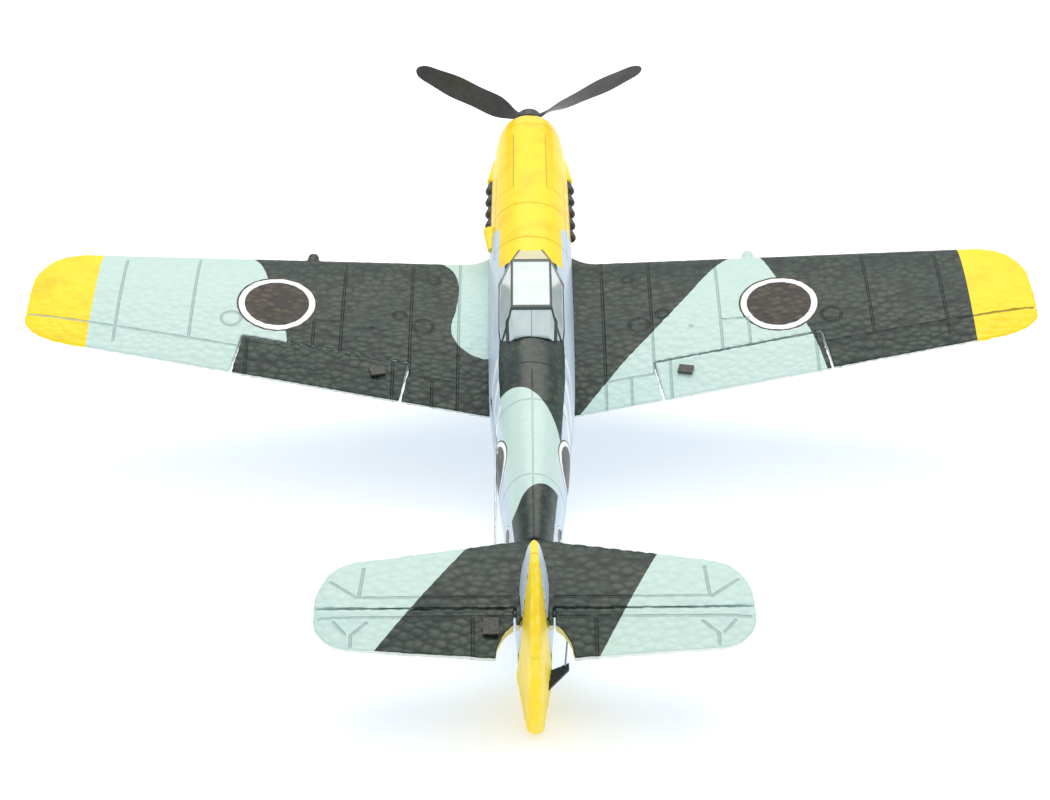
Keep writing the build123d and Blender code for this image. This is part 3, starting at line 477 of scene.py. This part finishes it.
def skyPaint(board):
    streak = board.noise(board.stretched(board.flightPoint(), (0.2, 0.03, 0.2)), 1.0, 3)
    return board.blend(board.above(streak, 0.5, 0.25), paint["sky"], paint["skyDeep"])


def upness(board):  # how far a surface faces up in the flight frame, 0 on an upright wall
    normal = board.add("ShaderNodeTexCoord").outputs["Normal"]
    upward = (toGround.to_3x3() @ Vector((0, 0, 1))).normalized()
    return board.maths("ABSOLUTE", board.vectors("DOT_PRODUCT", normal, upward).outputs["Value"])


def roundMark(board, colour, point, centre, outer, bead):  # a plain dark disc with a white ring
    far = board.vectors("DISTANCE", point, Vector(centre)).outputs["Value"]
    ring = board.between(far, outer * 0.80, outer * 0.95)
    disc = board.below(far, outer)
    # the disc's bead tops get a painted warm highlight
    markHighlightShare = board.maths("MULTIPLY", board.above(bead, 0.6, 0.35), 0.7)
    wearAndHighlight = board.blend(markHighlightShare, paint["markDark"], paint["markHighlight"])
    colour = board.blend(disc, colour, wearAndHighlight)
    return board.blend(ring, colour, paint["markPale"])


def fineGrain(board, lines, lineDepth=0.00035):  # a fine skin, with the panel lines pressed into it
    grain = board.noise(board.flightPoint(), 1.6, 3, 0.6)
    normal = board.bump(grain, 0.00012, 0.5)
    return board.bump(board.maths("SUBTRACT", 1.0, lines), lineDepth, 1.0, normal)


def wornLines(board, colour, lines, darkHere):  # panel lines, one tone on dark paint and one on pale
    tone = board.blend(darkHere, paint["paleGroove"], paint["groove"])
    return board.blend(board.maths("MULTIPLY", lines, 0.7), colour, tone)


wingMarks = {  # edges of the dark paint as (station, x); lines as pairs of (x, station, 0)
    "tipStart": 174.2,
    "leftOuter": [(96, -116.5), (101.6, -113.8), (108.6, -109.7), (130, -103.2), (152, -96.8), (166, -96.8),
        (190, -96.8)],
    "leftInner": [(92, -39), (95.7, -37.1), (105.6, -31.3), (116.7, -29.4), (130.5, -30.3), (142.5, -32),
        (147.5, -30.7), (153.2, -26.6), (158.1, -19), (160, -10), (190, -10)],
    "rightInner": [(92, 90), (100.5, 81.2), (110.4, 73.3), (125.8, 63.1), (146.9, 47.4), (158.5, 38.2),
        (172, 28.4), (185.2, 18.9), (190, 15)],
    "rightOuter": [(92, 91), (102.4, 95.1), (109.5, 97), (140.6, 107), (157.1, 112.2), (171.3, 115.3), (190, 120)],
    "leftDisc": (-101.9, 132.5, 0),
    "rightDisc": (99.3, 134.1, 0),
    "discRadius": 16.0,
    "lines": [
        ((164, 110, 0), (164, 158, 0)), ((135, 106, 0), (135, 154, 0)), ((75.5, 96, 0), (75.5, 162, 0)),
        ((48.2, 93, 0), (48.2, 168, 0)), ((29, 92, 0), (29, 184, 0)), ((198, 146, 0), (149, 152.5, 0)),
        ((149, 152.5, 0), (116.5, 157.2, 0)), ((75.5, 141.5, 0), (86.5, 141.5, 0)),
        ((86.5, 141.5, 0), (86.5, 160.5, 0)), ((29, 170.6, 0), (48.2, 168, 0)), ((39, 169.5, 0), (39, 185, 0)),
    ],
    "covers": [((119.3, 142.9, 0), 3.9), ((52.6, 135.9, 0), 2.4), ((43, 141.5, 0), 3.9), ((39.5, 111.9, 0), 2.3)],
    "rivets": [((63.5, 144, 0), 0.35), ((48.2, 95, 0), 0.7), ((75.5, 98, 0), 0.7)],
    "flapLines": [((54.5, 155, 0), (54.5, 190, 0)), ((112, 150, 0), (112, 190, 0))],
    "rawFrom": 150.0,
    "dihedral": 5.9,
    "rootHalf": 17,
    "splitHeight": -11.9,
}


def wingDark(board, station, soft, side, flap):  # 1 where the dark paint lies
    if side > 0:
        inner = board.curveOf(station, wingMarks["rightInner"], 10, 95)
        outer = board.curveOf(station, wingMarks["rightOuter"], 85, 125)
        return board.either(board.below(soft, inner), board.above(soft, outer))
    if flap:
        return 1.0
    outer = board.curveOf(station, wingMarks["leftOuter"], -120, -90)
    inner = board.curveOf(station, wingMarks["leftInner"], -45, 0)
    return board.both(board.above(soft, outer), board.below(soft, inner))


def paintWing(name, side, flap=False):
    board = NodeBoard(name)
    x, station, z = board.places()
    across = board.maths("ABSOLUTE", x)
    bead = beadOf(board)
    wobble = board.maths("MULTIPLY", board.maths("SUBTRACT", board.noise(board.flightPoint(), 0.35, 2), 0.5), 0.5)
    darkHere = wingDark(board, station, board.maths("ADD", x, wobble), side, flap)
    colour = board.blend(darkHere, palePaint(board, bead), darkPaint(board, bead))
    onTip = board.above(across, wingMarks["tipStart"])
    colour = board.blend(onTip, colour, yellowPaint(board))
    mirror = board.joined(across, station)  # the lines are the same on both wings
    if flap:
        far = board.strokeDistance(mirror, wingMarks["flapLines"])
    else:
        disc = wingMarks["leftDisc" if side < 0 else "rightDisc"]
        colour = roundMark(board, colour, board.joined(x, station), disc, wingMarks["discRadius"], bead)
        far = board.maths("MINIMUM", board.strokeDistance(mirror, wingMarks["lines"]),
            board.ringDistance(mirror, wingMarks["covers"] + wingMarks["rivets"]))
    top = wingSide(board, across, z)
    lines = board.both(board.below(far, 0.45, 0.25), top)
    colour = wornLines(board, colour, lines, darkHere)
    under = board.blend(onTip, skyPaint(board), yellowPaint(board))
    colour = board.blend(top, under, colour)
    wall = board.both(board.below(upness(board), 0.45, 0.12), board.above(station, wingMarks["rawFrom"]),
        board.below(across, wingMarks["tipStart"]))
    colour = board.blend(board.maths("MULTIPLY", wall, 0.85), colour, paint["rawFoam"])
    gloss = board.maths("MULTIPLY_ADD", bead, -0.08, 0.50)
    return board.finish(colour, gloss, fineGrain(board, lines))


def wingSide(board, across, z):  # 1 on the upper side of the wing
    slope = math.tan(math.radians(wingMarks["dihedral"]))
    level = board.maths("MULTIPLY_ADD", across, slope, wingMarks["splitHeight"] - wingMarks["rootHalf"] * slope)
    level = board.maths("MAXIMUM", level, wingMarks["splitHeight"])
    return board.above(board.maths("SUBTRACT", z, level), -0.7, 0.15)


tailMarks = {
    "bandFrom": 286.2,
    "leftEdge": (-23.2, -0.655),  # x at bandFrom, and its lean aft
    "rightEdge": (43.7, -0.46),
    "lines": [
        ((7, 309.6, 0), (60, 309.6, 0)), ((60, 309.6, 0), (69, 302, 0)), ((58, 296, 0), (59, 309, 0)),
        ((8, 318.2, 0), (72, 318.2, 0)), ((67, 320, 0), (63, 325, 0)), ((56, 320.5, 0), (61, 325.5, 0)),
        ((61, 325.5, 0), (61, 330, 0)), ((20.5, 318.5, 0), (20.5, 336, 0)),
    ],
    "topHeight": 19.4,
    "underHeight": 18.0,
    "rawFrom": 318.5,
}


def paintTail(name):
    board = NodeBoard(name)
    x, station, z = board.places()
    bead = beadOf(board)
    back = board.maths("SUBTRACT", station, tailMarks["bandFrom"])
    left, right = (board.maths("MULTIPLY_ADD", back, lean, start)
        for start, lean in (tailMarks["leftEdge"], tailMarks["rightEdge"]))
    darkHere = board.both(board.above(x, left), board.below(x, right))
    colour = board.blend(darkHere, palePaint(board, bead), darkPaint(board, bead))
    mirror = board.joined(board.maths("ABSOLUTE", x), station)
    lines = board.below(board.strokeDistance(mirror, tailMarks["lines"]), 0.45, 0.25)
    lines = board.both(lines, board.above(z, tailMarks["topHeight"], 0.15))
    colour = wornLines(board, colour, lines, darkHere)
    colour = board.blend(board.above(z, tailMarks["underHeight"], 0.15), skyPaint(board), colour)
    wall = board.both(board.below(upness(board), 0.45, 0.12), board.above(station, tailMarks["rawFrom"]))
    colour = board.blend(board.maths("MULTIPLY", wall, 0.85), colour, paint["rawFoam"])
    gloss = board.maths("MULTIPLY_ADD", bead, -0.08, 0.50)
    return board.finish(colour, gloss, fineGrain(board, lines))


bodyMarks = {  # side lines as pairs of (0, station, z)
    "spineLevel": [(100, 15.8), (140, 15.3), (180, 14.8), (220, 14.2), (250, 12.8), (290, 13.5), (330, 15.5)],
    "firstDarkEnd": [(-20, 207), (-11, 203.7), (-5, 204.6), (0, 207.5), (5, 214), (8.7, 222), (12, 232),
        (20, 236)],
    "secondDarkStart": [(-20, 275), (-7, 265.6), (-3, 258.5), (0, 255.5), (4, 253.9), (7.5, 253.6), (20, 253)],
    "streaks": [((0, 182, 14.0), (0, 199, 5.0)), ((0, 195, 14.5), (0, 211, 4.0)), ((0, 208, 13.5), (0, 221, 5.0))],
    "yellowEdge": [(88, 4), (96, 9), (100, 12.4), (112, 12.8), (126, 13.2), (140, 19)],
    "yellowTopEnd": 126.0,
    "yellowLowEnd": 103.0,
    "wedgeStart": 96.5,
    "sideDiscs": [((0, 232, 4.0), 11.5), ((0, 268, 5.0), 5.2)],
    "troughAcross": (6.9, 9.8),
    "troughStations": (33.0, 76.0),
    "rings": (24.0, 88.5, 112.0, 192.0, 212.0, 250.0, 282.0),
    "shoulderRing": 76.0,
    "seamFrom": 196.0,
    "sideLines": [
        ((0, 30, -3), (0, 92, -1)), ((0, 60, 9), (0, 116, 9.5)), ((0, 140, 6), (0, 200, 6)),
        ((0, 150, 6), (0, 150, -8)), ((0, 176, 6), (0, 176, -6)), ((0, 212, 2), (0, 290, 4)),
    ],
    "skyLine": shade(158, 182, 202),
    "yellowLine": shade(222, 176, 0),
}


def paintFuselage(name):
    board = NodeBoard(name)
    x, station, z = board.places()
    across = board.maths("ABSOLUTE", x)
    sideOn = board.joined(0.0, station, z)
    bead = beadOf(board)
    wobble = board.maths("MULTIPLY", board.maths("SUBTRACT", board.noise(board.flightPoint(), 0.3, 2), 0.5), 0.8)
    spineLevel = board.curveOf(station, bodyMarks["spineLevel"], 10, 20)
    onSpine = board.above(board.maths("ADD", z, wobble), spineLevel)
    firstEnd = board.curveOf(x, bodyMarks["firstDarkEnd"], 195, 240)
    secondStart = board.curveOf(x, bodyMarks["secondDarkStart"], 245, 280)
    darkHere = board.either(board.below(station, firstEnd), board.above(station, secondStart))
    spine = board.blend(darkHere, palePaint(board, bead), darkPaint(board, bead))
    streaks = board.below(board.strokeDistance(sideOn, bodyMarks["streaks"]), 1.1, 0.35)
    flank = board.blend(board.maths("MULTIPLY", streaks, 0.9), skyPaint(board), paint["markPale"])
    colour = board.blend(onSpine, flank, spine)
    # Yellow nose, with a wedge of the flank's colour let into each side
    edge = board.curveOf(station, bodyMarks["yellowEdge"], 0, 20)
    topYellow = board.both(board.above(z, edge), board.below(station, bodyMarks["yellowTopEnd"]))
    wedge = board.both(board.above(station, bodyMarks["wedgeStart"]), board.below(z, edge))
    lowYellow = board.below(board.maths("MULTIPLY_ADD", z, 0.55, station), bodyMarks["yellowLowEnd"])
    yellowHere = board.either(topYellow, board.both(lowYellow, board.maths("SUBTRACT", 1.0, wedge)))
    colour = board.blend(yellowHere, colour, yellowPaint(board))
    for centre, radius in bodyMarks["sideDiscs"]:
        marked = roundMark(board, colour, sideOn, centre, radius, bead)
        colour = board.blend(board.above(across, 4.0), colour, marked)
    # Panel lines and the two long troughs on the nose
    trough = board.both(board.between(across, *bodyMarks["troughAcross"], 0.35),
        board.between(station, *bodyMarks["troughStations"], 0.8), board.above(z, 4.0))
    ringsFar = [board.maths("ABSOLUTE", board.maths("SUBTRACT", station, place)) for place in bodyMarks["rings"]]
    rings = board.below(functools.reduce(lambda a, b: board.maths("MINIMUM", a, b), ringsFar), 0.25, 0.18)
    shoulderFar = board.maths("ABSOLUTE", board.maths("SUBTRACT", station, bodyMarks["shoulderRing"]))
    shoulder = board.both(board.below(shoulderFar, 0.25, 0.18), board.above(across, bodyMarks["troughAcross"][1]))
    sideLines = board.below(board.strokeDistance(sideOn, bodyMarks["sideLines"]), 0.28, 0.18)
    sideLines = board.both(sideLines, board.above(across, 5.0))
    seam = board.both(board.below(across, 0.22, 0.12), board.above(station, bodyMarks["seamFrom"]))
    lines = board.either(rings, shoulder, sideLines, seam)
    tint = board.blend(darkHere, paint["paleValleyShadeAndLine"], paint["groove"])
    tint = board.blend(onSpine, bodyMarks["skyLine"], tint)
    tint = board.blend(yellowHere, tint, bodyMarks["yellowLine"])
    colour = board.blend(board.maths("MULTIPLY", lines, 0.6), colour, tint)
    # the nose troughs are painted darker yellow as shade in the recess
    colour = board.blend(board.maths("MULTIPLY", trough, 0.45), colour, paint["yellowDeep"])
    normal = board.bump(board.maths("SUBTRACT", 1.0, trough), 0.0006, 1.0, fineGrain(board, lines, 0.0003))
    return board.finish(colour, 0.36, normal, coat=0.05)


finMarks = {
    "crestHalf": 1.35,
    "crestFrom": 27.0,
    "lineHeight": 30.0,
    "streak": shade(255, 243, 130),
}


def paintFin(name, isRudder):
    board = NodeBoard(name)
    x, station, z = board.places()
    streak = board.noise(board.stretched(board.flightPoint(), (0.5, 0.5, 0.06)), 1.0, 3)
    streak = board.maths("MULTIPLY", board.above(streak, 0.55, 0.15), 0.45)
    colour = board.blend(streak, yellowPaint(board), finMarks["streak"])
    if not isRudder:  # the fin is yellow on its crest only
        # the sky-blue bead valleys are painted darker as shade
        pale = board.blend(beadOf(board), paint["skyDeep"], paint["sky"])
        crest = board.below(board.maths("ABSOLUTE", x), finMarks["crestHalf"], 0.15)
        crest = board.both(crest, board.above(z, finMarks["crestFrom"], 0.4))
        colour = board.blend(crest, pale, colour)
    far = board.maths("ABSOLUTE", board.maths("SUBTRACT", z, finMarks["lineHeight"]))
    return board.finish(colour, 0.42, fineGrain(board, board.below(far, 0.3, 0.18), 0.0002))


def buildFoam():
    slot = "painted_foam"
    tailPaint = paintTail("tailPaint")
    chosen = {
        "fuselage_left": paintFuselage("fuselagePaint"),
        "tailplane": tailPaint,
        "elevator_left": tailPaint,
        "elevator_right": tailPaint,
        "fin": paintFin("finPaint", False),
        "rudder": paintFin("rudderPaint", True),
        "aileron_left": paintWing("aileronPaintLeft", -1, flap=True),
        "aileron_right": paintWing("aileronPaintRight", 1, flap=True),
    }
    bodies = frame["record"]["behaviour"]["bodies"]
    bodyOf = {node: body for body, members in bodies.items() for node in members}
    for node, recipe in foam.items():
        members = [node] + ([recipe["joins"]] if "joins" in recipe else [])
        mesh = evenMesh([nodes[member] for member in members], recipe["voxel"], 2)
        raiseBeads(mesh, recipe)
        addPiece(recipe["name"], mesh, bodyOf[node], slot, chosen[node], *members)
        print("foam piece", recipe["name"], len(mesh.polygons), "faces")
    for side, label in ((-1, "Left"), (1, "Right")):  # in two halves, to keep each one light
        mesh = evenMesh([nodes["wing"]], wingFoam["voxel"], 2)
        keepSide(mesh, side)
        raiseBeads(mesh, wingFoam)
        addPiece("wingSkin" + label, mesh, "airframe", slot, paintWing("wingPaint" + label, side), "wing")
        print("foam piece wingSkin" + label, len(mesh.polygons), "faces")


buildFoam()


# Canopy: one clear-grey moulding with raised, painted frame bars

canopyShape = {  # bars as pairs of (x, station, z), for the right side
    "voxel": 0.00036,
    "crossHalf": 1.2,
    "longHalf": 0.62,
    "barRise": 0.22,
    "barSoft": 0.25,
    "pane": shade(206, 218, 218),
    "paneDeep": shade(184, 200, 202),
    "bar": shade(34, 56, 54),
    "crossBars": [((0, 138.4, 28), (7.6, 138.4, 28)), ((0, 167, 28), (7.6, 167, 28))],
    "longBars": [
        ((4.6, 121, 18.8), (7.6, 138.4, 28)), ((7.6, 138.4, 28), (12.8, 138.4, 15.2)),
        ((7.6, 138.4, 28), (7.6, 167, 28)), ((12.5, 137, 16.0), (12.5, 178, 16.0)),
        ((8.7, 120.5, 14.4), (12.8, 138.4, 15.2)), ((7.6, 139.6, 27.6), (12.8, 139.9, 15.2)),
        ((7.6, 139.4, 27.6), (10.7, 130, 15)),
    ],
    "rearBars": [((7.6, 167, 0), (12.7, 176.6, 0)), ((9.4, 168.6, 0), (9.0, 178, 0))],  # laid out from above
    "rearLineHalf": 0.2,
    "rearLineFrom": 167.0,
}


def barReach(points, bars):  # distance from each point to the nearest bar's middle line
    far = np.full(len(points), np.inf)
    for start, end in bars:
        start = np.array(start, dtype=float)
        along = np.array(end, dtype=float) - start
        share = np.clip((points - start) @ along / (along @ along), 0, 1)
        far = np.minimum(far, np.linalg.norm(points - start - share[:, None] * along, axis=1))
    return far


def buildCanopy():
    shape = canopyShape
    mesh = evenMesh([nodes["canopy"]], shape["voxel"], 1)
    points, normals = readPoints(mesh), readNormals(mesh)
    places = flightPlaces(points)
    mirror = np.column_stack([np.abs(places[:, 0]), -places[:, 1], places[:, 2]])
    across = barReach(mirror, shape["crossBars"]) - shape["crossHalf"]
    along = np.minimum(barReach(mirror, shape["longBars"]), barReach(mirror * (1, 1, 0), shape["rearBars"]))
    inside = shape["barSoft"] - np.minimum(across, along - shape["longHalf"])
    rise = np.clip(inside / (2 * shape["barSoft"]), 0, 1) * shape["barRise"] / 1000
    moved = points + normals * rise[:, None]
    mesh.vertices.foreach_set("co", moved.astype(np.float32).ravel())
    mesh.shade_smooth()
    board = NodeBoard("canopyPaint")
    x, station, z = board.places()
    side = board.maths("ABSOLUTE", x)
    mirrorPoint = board.joined(side, station, z)
    crossing = board.below(board.strokeDistance(mirrorPoint, shape["crossBars"]), shape["crossHalf"])
    longFar = board.maths("MINIMUM", board.strokeDistance(mirrorPoint, shape["longBars"]),
        board.strokeDistance(board.joined(side, station), shape["rearBars"]))
    bars = board.either(crossing, board.below(longFar, shape["longHalf"]))
    haze = board.noise(board.flightPoint(), 0.12, 3)
    pane = board.blend(board.above(haze, 0.5, 0.3), shape["pane"], shape["paneDeep"])
    thin = board.both(board.below(side, shape["rearLineHalf"], 0.1), board.above(station, shape["rearLineFrom"]))
    pane = board.blend(board.maths("MULTIPLY", thin, 0.5), pane, shape["bar"])
    colour = board.blend(bars, pane, shape["bar"])
    gloss = board.blend(bars, (0.12, 0.12, 0.12, 1), (0.42, 0.42, 0.42, 1))
    normal = board.bump(board.noise(board.flightPoint(), 0.5, 2), 0.0001, 0.3)
    board.finish(colour, gloss, normal, coat=0.3, coatRoughness=0.1)
    addPiece("canopyHood", mesh, "airframe", "canopy_plastic", board.material, "canopy")
    print("canopy", len(mesh.polygons), "faces")


buildCanopy()


# Hard parts keep their CAD shape and get a worked finish


def mouldedPlastic(name, colour, lighter, roughness=0.42, grain=2.2, coat=0.0):
    board = NodeBoard(name)
    cloud = board.noise(board.flightPoint(), 0.4, 4)
    fine = board.noise(board.flightPoint(), grain, 3, 0.6)
    tone = board.blend(board.above(cloud, 0.5, 0.3), colour, lighter)
    rough = board.maths("MULTIPLY_ADD", fine, 0.16, roughness - 0.08)
    normal = board.bump(fine, 0.00006, 0.6)
    return board.finish(tone, rough, normal, coat=coat)


def dimmed(colour, share):  # the same colour, lighter or darker
    return tuple(min(1, c * share) for c in colour[:3]) + (1,)


def drawnWire(name, colour, roughness=0.28):
    board = NodeBoard(name)
    streak = board.noise(board.stretched(board.flightPoint(), (6, 0.25, 6)), 1.0, 3)
    tone = board.blend(board.above(streak, 0.55, 0.25), colour, dimmed(colour, 0.6))
    rough = board.maths("MULTIPLY_ADD", streak, 0.2, roughness - 0.1)
    return board.finish(tone, rough, board.bump(streak, 0.00003, 0.5), metallic=1.0)


def turnedMetal(name, colour, roughness=0.3, pitch=3.0):
    board = NodeBoard(name)
    station = board.places()[1]
    rings = board.maths("SINE", board.maths("MULTIPLY", station, pitch * math.pi))
    wearAndHighlight = board.noise(board.flightPoint(), 0.8, 3)
    tone = board.blend(board.above(wearAndHighlight, 0.55, 0.25), colour, dimmed(colour, 0.7))
    rough = board.maths("MULTIPLY_ADD", wearAndHighlight, 0.2, roughness - 0.1)
    return board.finish(tone, rough, board.bump(rings, 0.00003, 0.4), metallic=1.0)


def softFoam(name, colour, deep, cell=1.2):
    board = NodeBoard(name)
    pores = board.cells(board.flightPoint(), cell)
    dust = board.noise(board.flightPoint(), 0.5, 3)
    tone = board.blend(board.above(pores, 0.45, 0.35), colour, deep)
    dusty = board.maths("MULTIPLY", board.above(dust, 0.55, 0.2), 0.4)
    tone = board.blend(dusty, tone, dimmed(colour, 1.7))
    return board.finish(tone, 0.8, board.bump(board.maths("SUBTRACT", 1.0, pores), 0.0002, 0.7), sheen=0.15)


def paintBattery():
    board = NodeBoard("batteryWrap")
    station = board.places()[1]
    wrinkle = board.noise(board.stretched(board.flightPoint(), (0.5, 0.12, 0.5)), 1.0, 4)
    band = board.either(board.below(station, 55.5), board.above(station, 85.5))
    tone = board.blend(board.above(wrinkle, 0.5, 0.3), shade(58, 92, 150), shade(78, 116, 176))
    tone = board.blend(band, tone, shade(214, 176, 70))
    return board.finish(tone, 0.3, board.bump(wrinkle, 0.0004, 0.6), coat=0.4, coatRoughness=0.15)


def paintBoard():
    board = NodeBoard("circuitBoard")
    x, station, z = board.places()
    tracks = board.add("ShaderNodeTexBrick")
    board.plug(tracks.inputs["Vector"], board.joined(x, station))
    tracks.inputs["Scale"].default_value = 0.6
    tracks.inputs["Mortar Size"].default_value = 0.03
    lacquer = board.blend(tracks.outputs["Fac"], shade(18, 78, 52), shade(34, 116, 78))
    chipSide = board.below(z, -5.15, 0.05)
    case = board.blend(board.noise(board.flightPoint(), 3, 2), shade(28, 28, 30), shade(46, 46, 50))
    tone = board.blend(chipSide, lacquer, case)
    return board.finish(tone, 0.35, board.bump(tracks.outputs["Fac"], 0.00005, 0.6))


def paintPly():
    board = NodeBoard("plywoodGrain")
    grain = board.noise(board.stretched(board.flightPoint(), (1.2, 0.08, 1.2)), 1.0, 5, 0.6)
    tone = board.blend(grain, shade(196, 156, 104), shade(226, 194, 146))
    return board.finish(tone, 0.62, board.bump(grain, 0.0001, 0.5))


def paintPlate(name):  # the small knurled plate on a control surface
    board = NodeBoard(name)
    knurl = board.cells(board.flightPoint(), 1.1)
    tone = board.blend(board.above(knurl, 0.4, 0.3), shade(30, 32, 32), shade(62, 62, 58))
    return board.finish(tone, 0.45, board.bump(knurl, 0.0002, 0.7))


def paintStacks():
    board = NodeBoard("exhaustSoot")
    x = board.places()[0]
    soot = board.noise(board.flightPoint(), 0.7, 4)
    mouth = board.above(board.maths("ABSOLUTE", x), 18.2, 0.3)  # the paler, heat-stained ends of the stubs
    tone = board.blend(soot, shade(26, 30, 32), shade(58, 60, 60))
    tone = board.blend(board.maths("MULTIPLY", mouth, 0.5), tone, shade(92, 84, 76))
    return board.finish(tone, 0.4, board.bump(soot, 0.0001, 0.5))


def dressHardParts():
    black = mouldedPlastic("blackPlastic", shade(30, 33, 35), shade(46, 49, 51))
    prop = mouldedPlastic("propellerPlastic", shade(40, 43, 46), shade(58, 61, 64), 0.34, 1.4, 0.15)
    grey = mouldedPlastic("greyPlastic", shade(120, 126, 130), shade(148, 152, 156))
    servo = mouldedPlastic("servoPlastic", shade(34, 62, 128), shade(52, 84, 154), 0.3, coat=0.2)
    nylon = mouldedPlastic("whiteNylon", shade(228, 228, 222), shade(242, 242, 238), 0.4)
    film = mouldedPlastic("hingeFilm", shade(206, 222, 222), shade(228, 238, 238), 0.25, coat=0.3)
    yellow = mouldedPlastic("intakePaint", shade(250, 216, 20), shade(255, 230, 50), 0.38)
    plate = paintPlate("hornPlate")
    finishes = {
        black: ["aileron_horn_left", "aileron_horn_right", "elevator_horn", "rudder_horn", "axle_collars"],
        prop: ["propeller"],
        grey: ["motor_mount", "nose_plate", "gear_mounts", "battery_hatch"],
        servo: ["aileron_servos", "elevator_servo", "rudder_servo"],
        nylon: ["aileron_servo_arm_left", "aileron_servo_arm_right", "elevator_servo_arm", "rudder_servo_arm",
            "spur_gear", "main_wheel_hub_left", "main_wheel_hub_right"],
        film: ["aileron_hinge_strips", "tail_hinge_strips"],
        yellow: ["air_intake"],
        plate: ["aileron_horn_plate_left", "aileron_horn_plate_right", "elevator_horn_plate"],
        paintStacks(): ["exhaust_stacks"],
        drawnWire("springSteel", (0.52, 0.53, 0.55, 1)): ["aileron_pushrod_left", "aileron_pushrod_right",
            "elevator_pushrod", "rudder_pushrod", "gear_leg_left", "gear_leg_right", "tail_leg"],
        turnedMetal("shaftSteel", (0.6, 0.6, 0.62, 1), 0.25): ["prop_shaft", "motor_shaft", "prop_nut"],
        turnedMetal("brass", (0.83, 0.62, 0.28, 1), 0.28, 1.6): ["pinion", "shaft_bushes"],
        turnedMetal("motorCan", (0.5, 0.52, 0.55, 1), 0.32, 1.2): ["motor"],
        mouldedPlastic("carbonRod", shade(24, 25, 27), shade(52, 54, 57), 0.3, 3.0, 0.3): ["wing_spars",
            "elevator_joiner"],
        paintBattery(): ["battery"],
        paintBoard(): ["radio_board"],
        softFoam("foamTape", shade(232, 232, 226), shade(206, 206, 200), 0.9): ["board_tape"],
        paintPly(): ["servo_tray"],
        softFoam("tyreFoam", shade(34, 34, 36), shade(14, 14, 15), 1.5): ["main_tyre_left", "main_tyre_right",
            "tail_wheel"],
    }
    dressed = 0
    for material, members in finishes.items():
        for node in members:
            slots = nodes[node].data.materials
            slots.clear()
            slots.append(material)
            dressed += 1
    print("hard parts dressed", dressed)


dressHardParts()
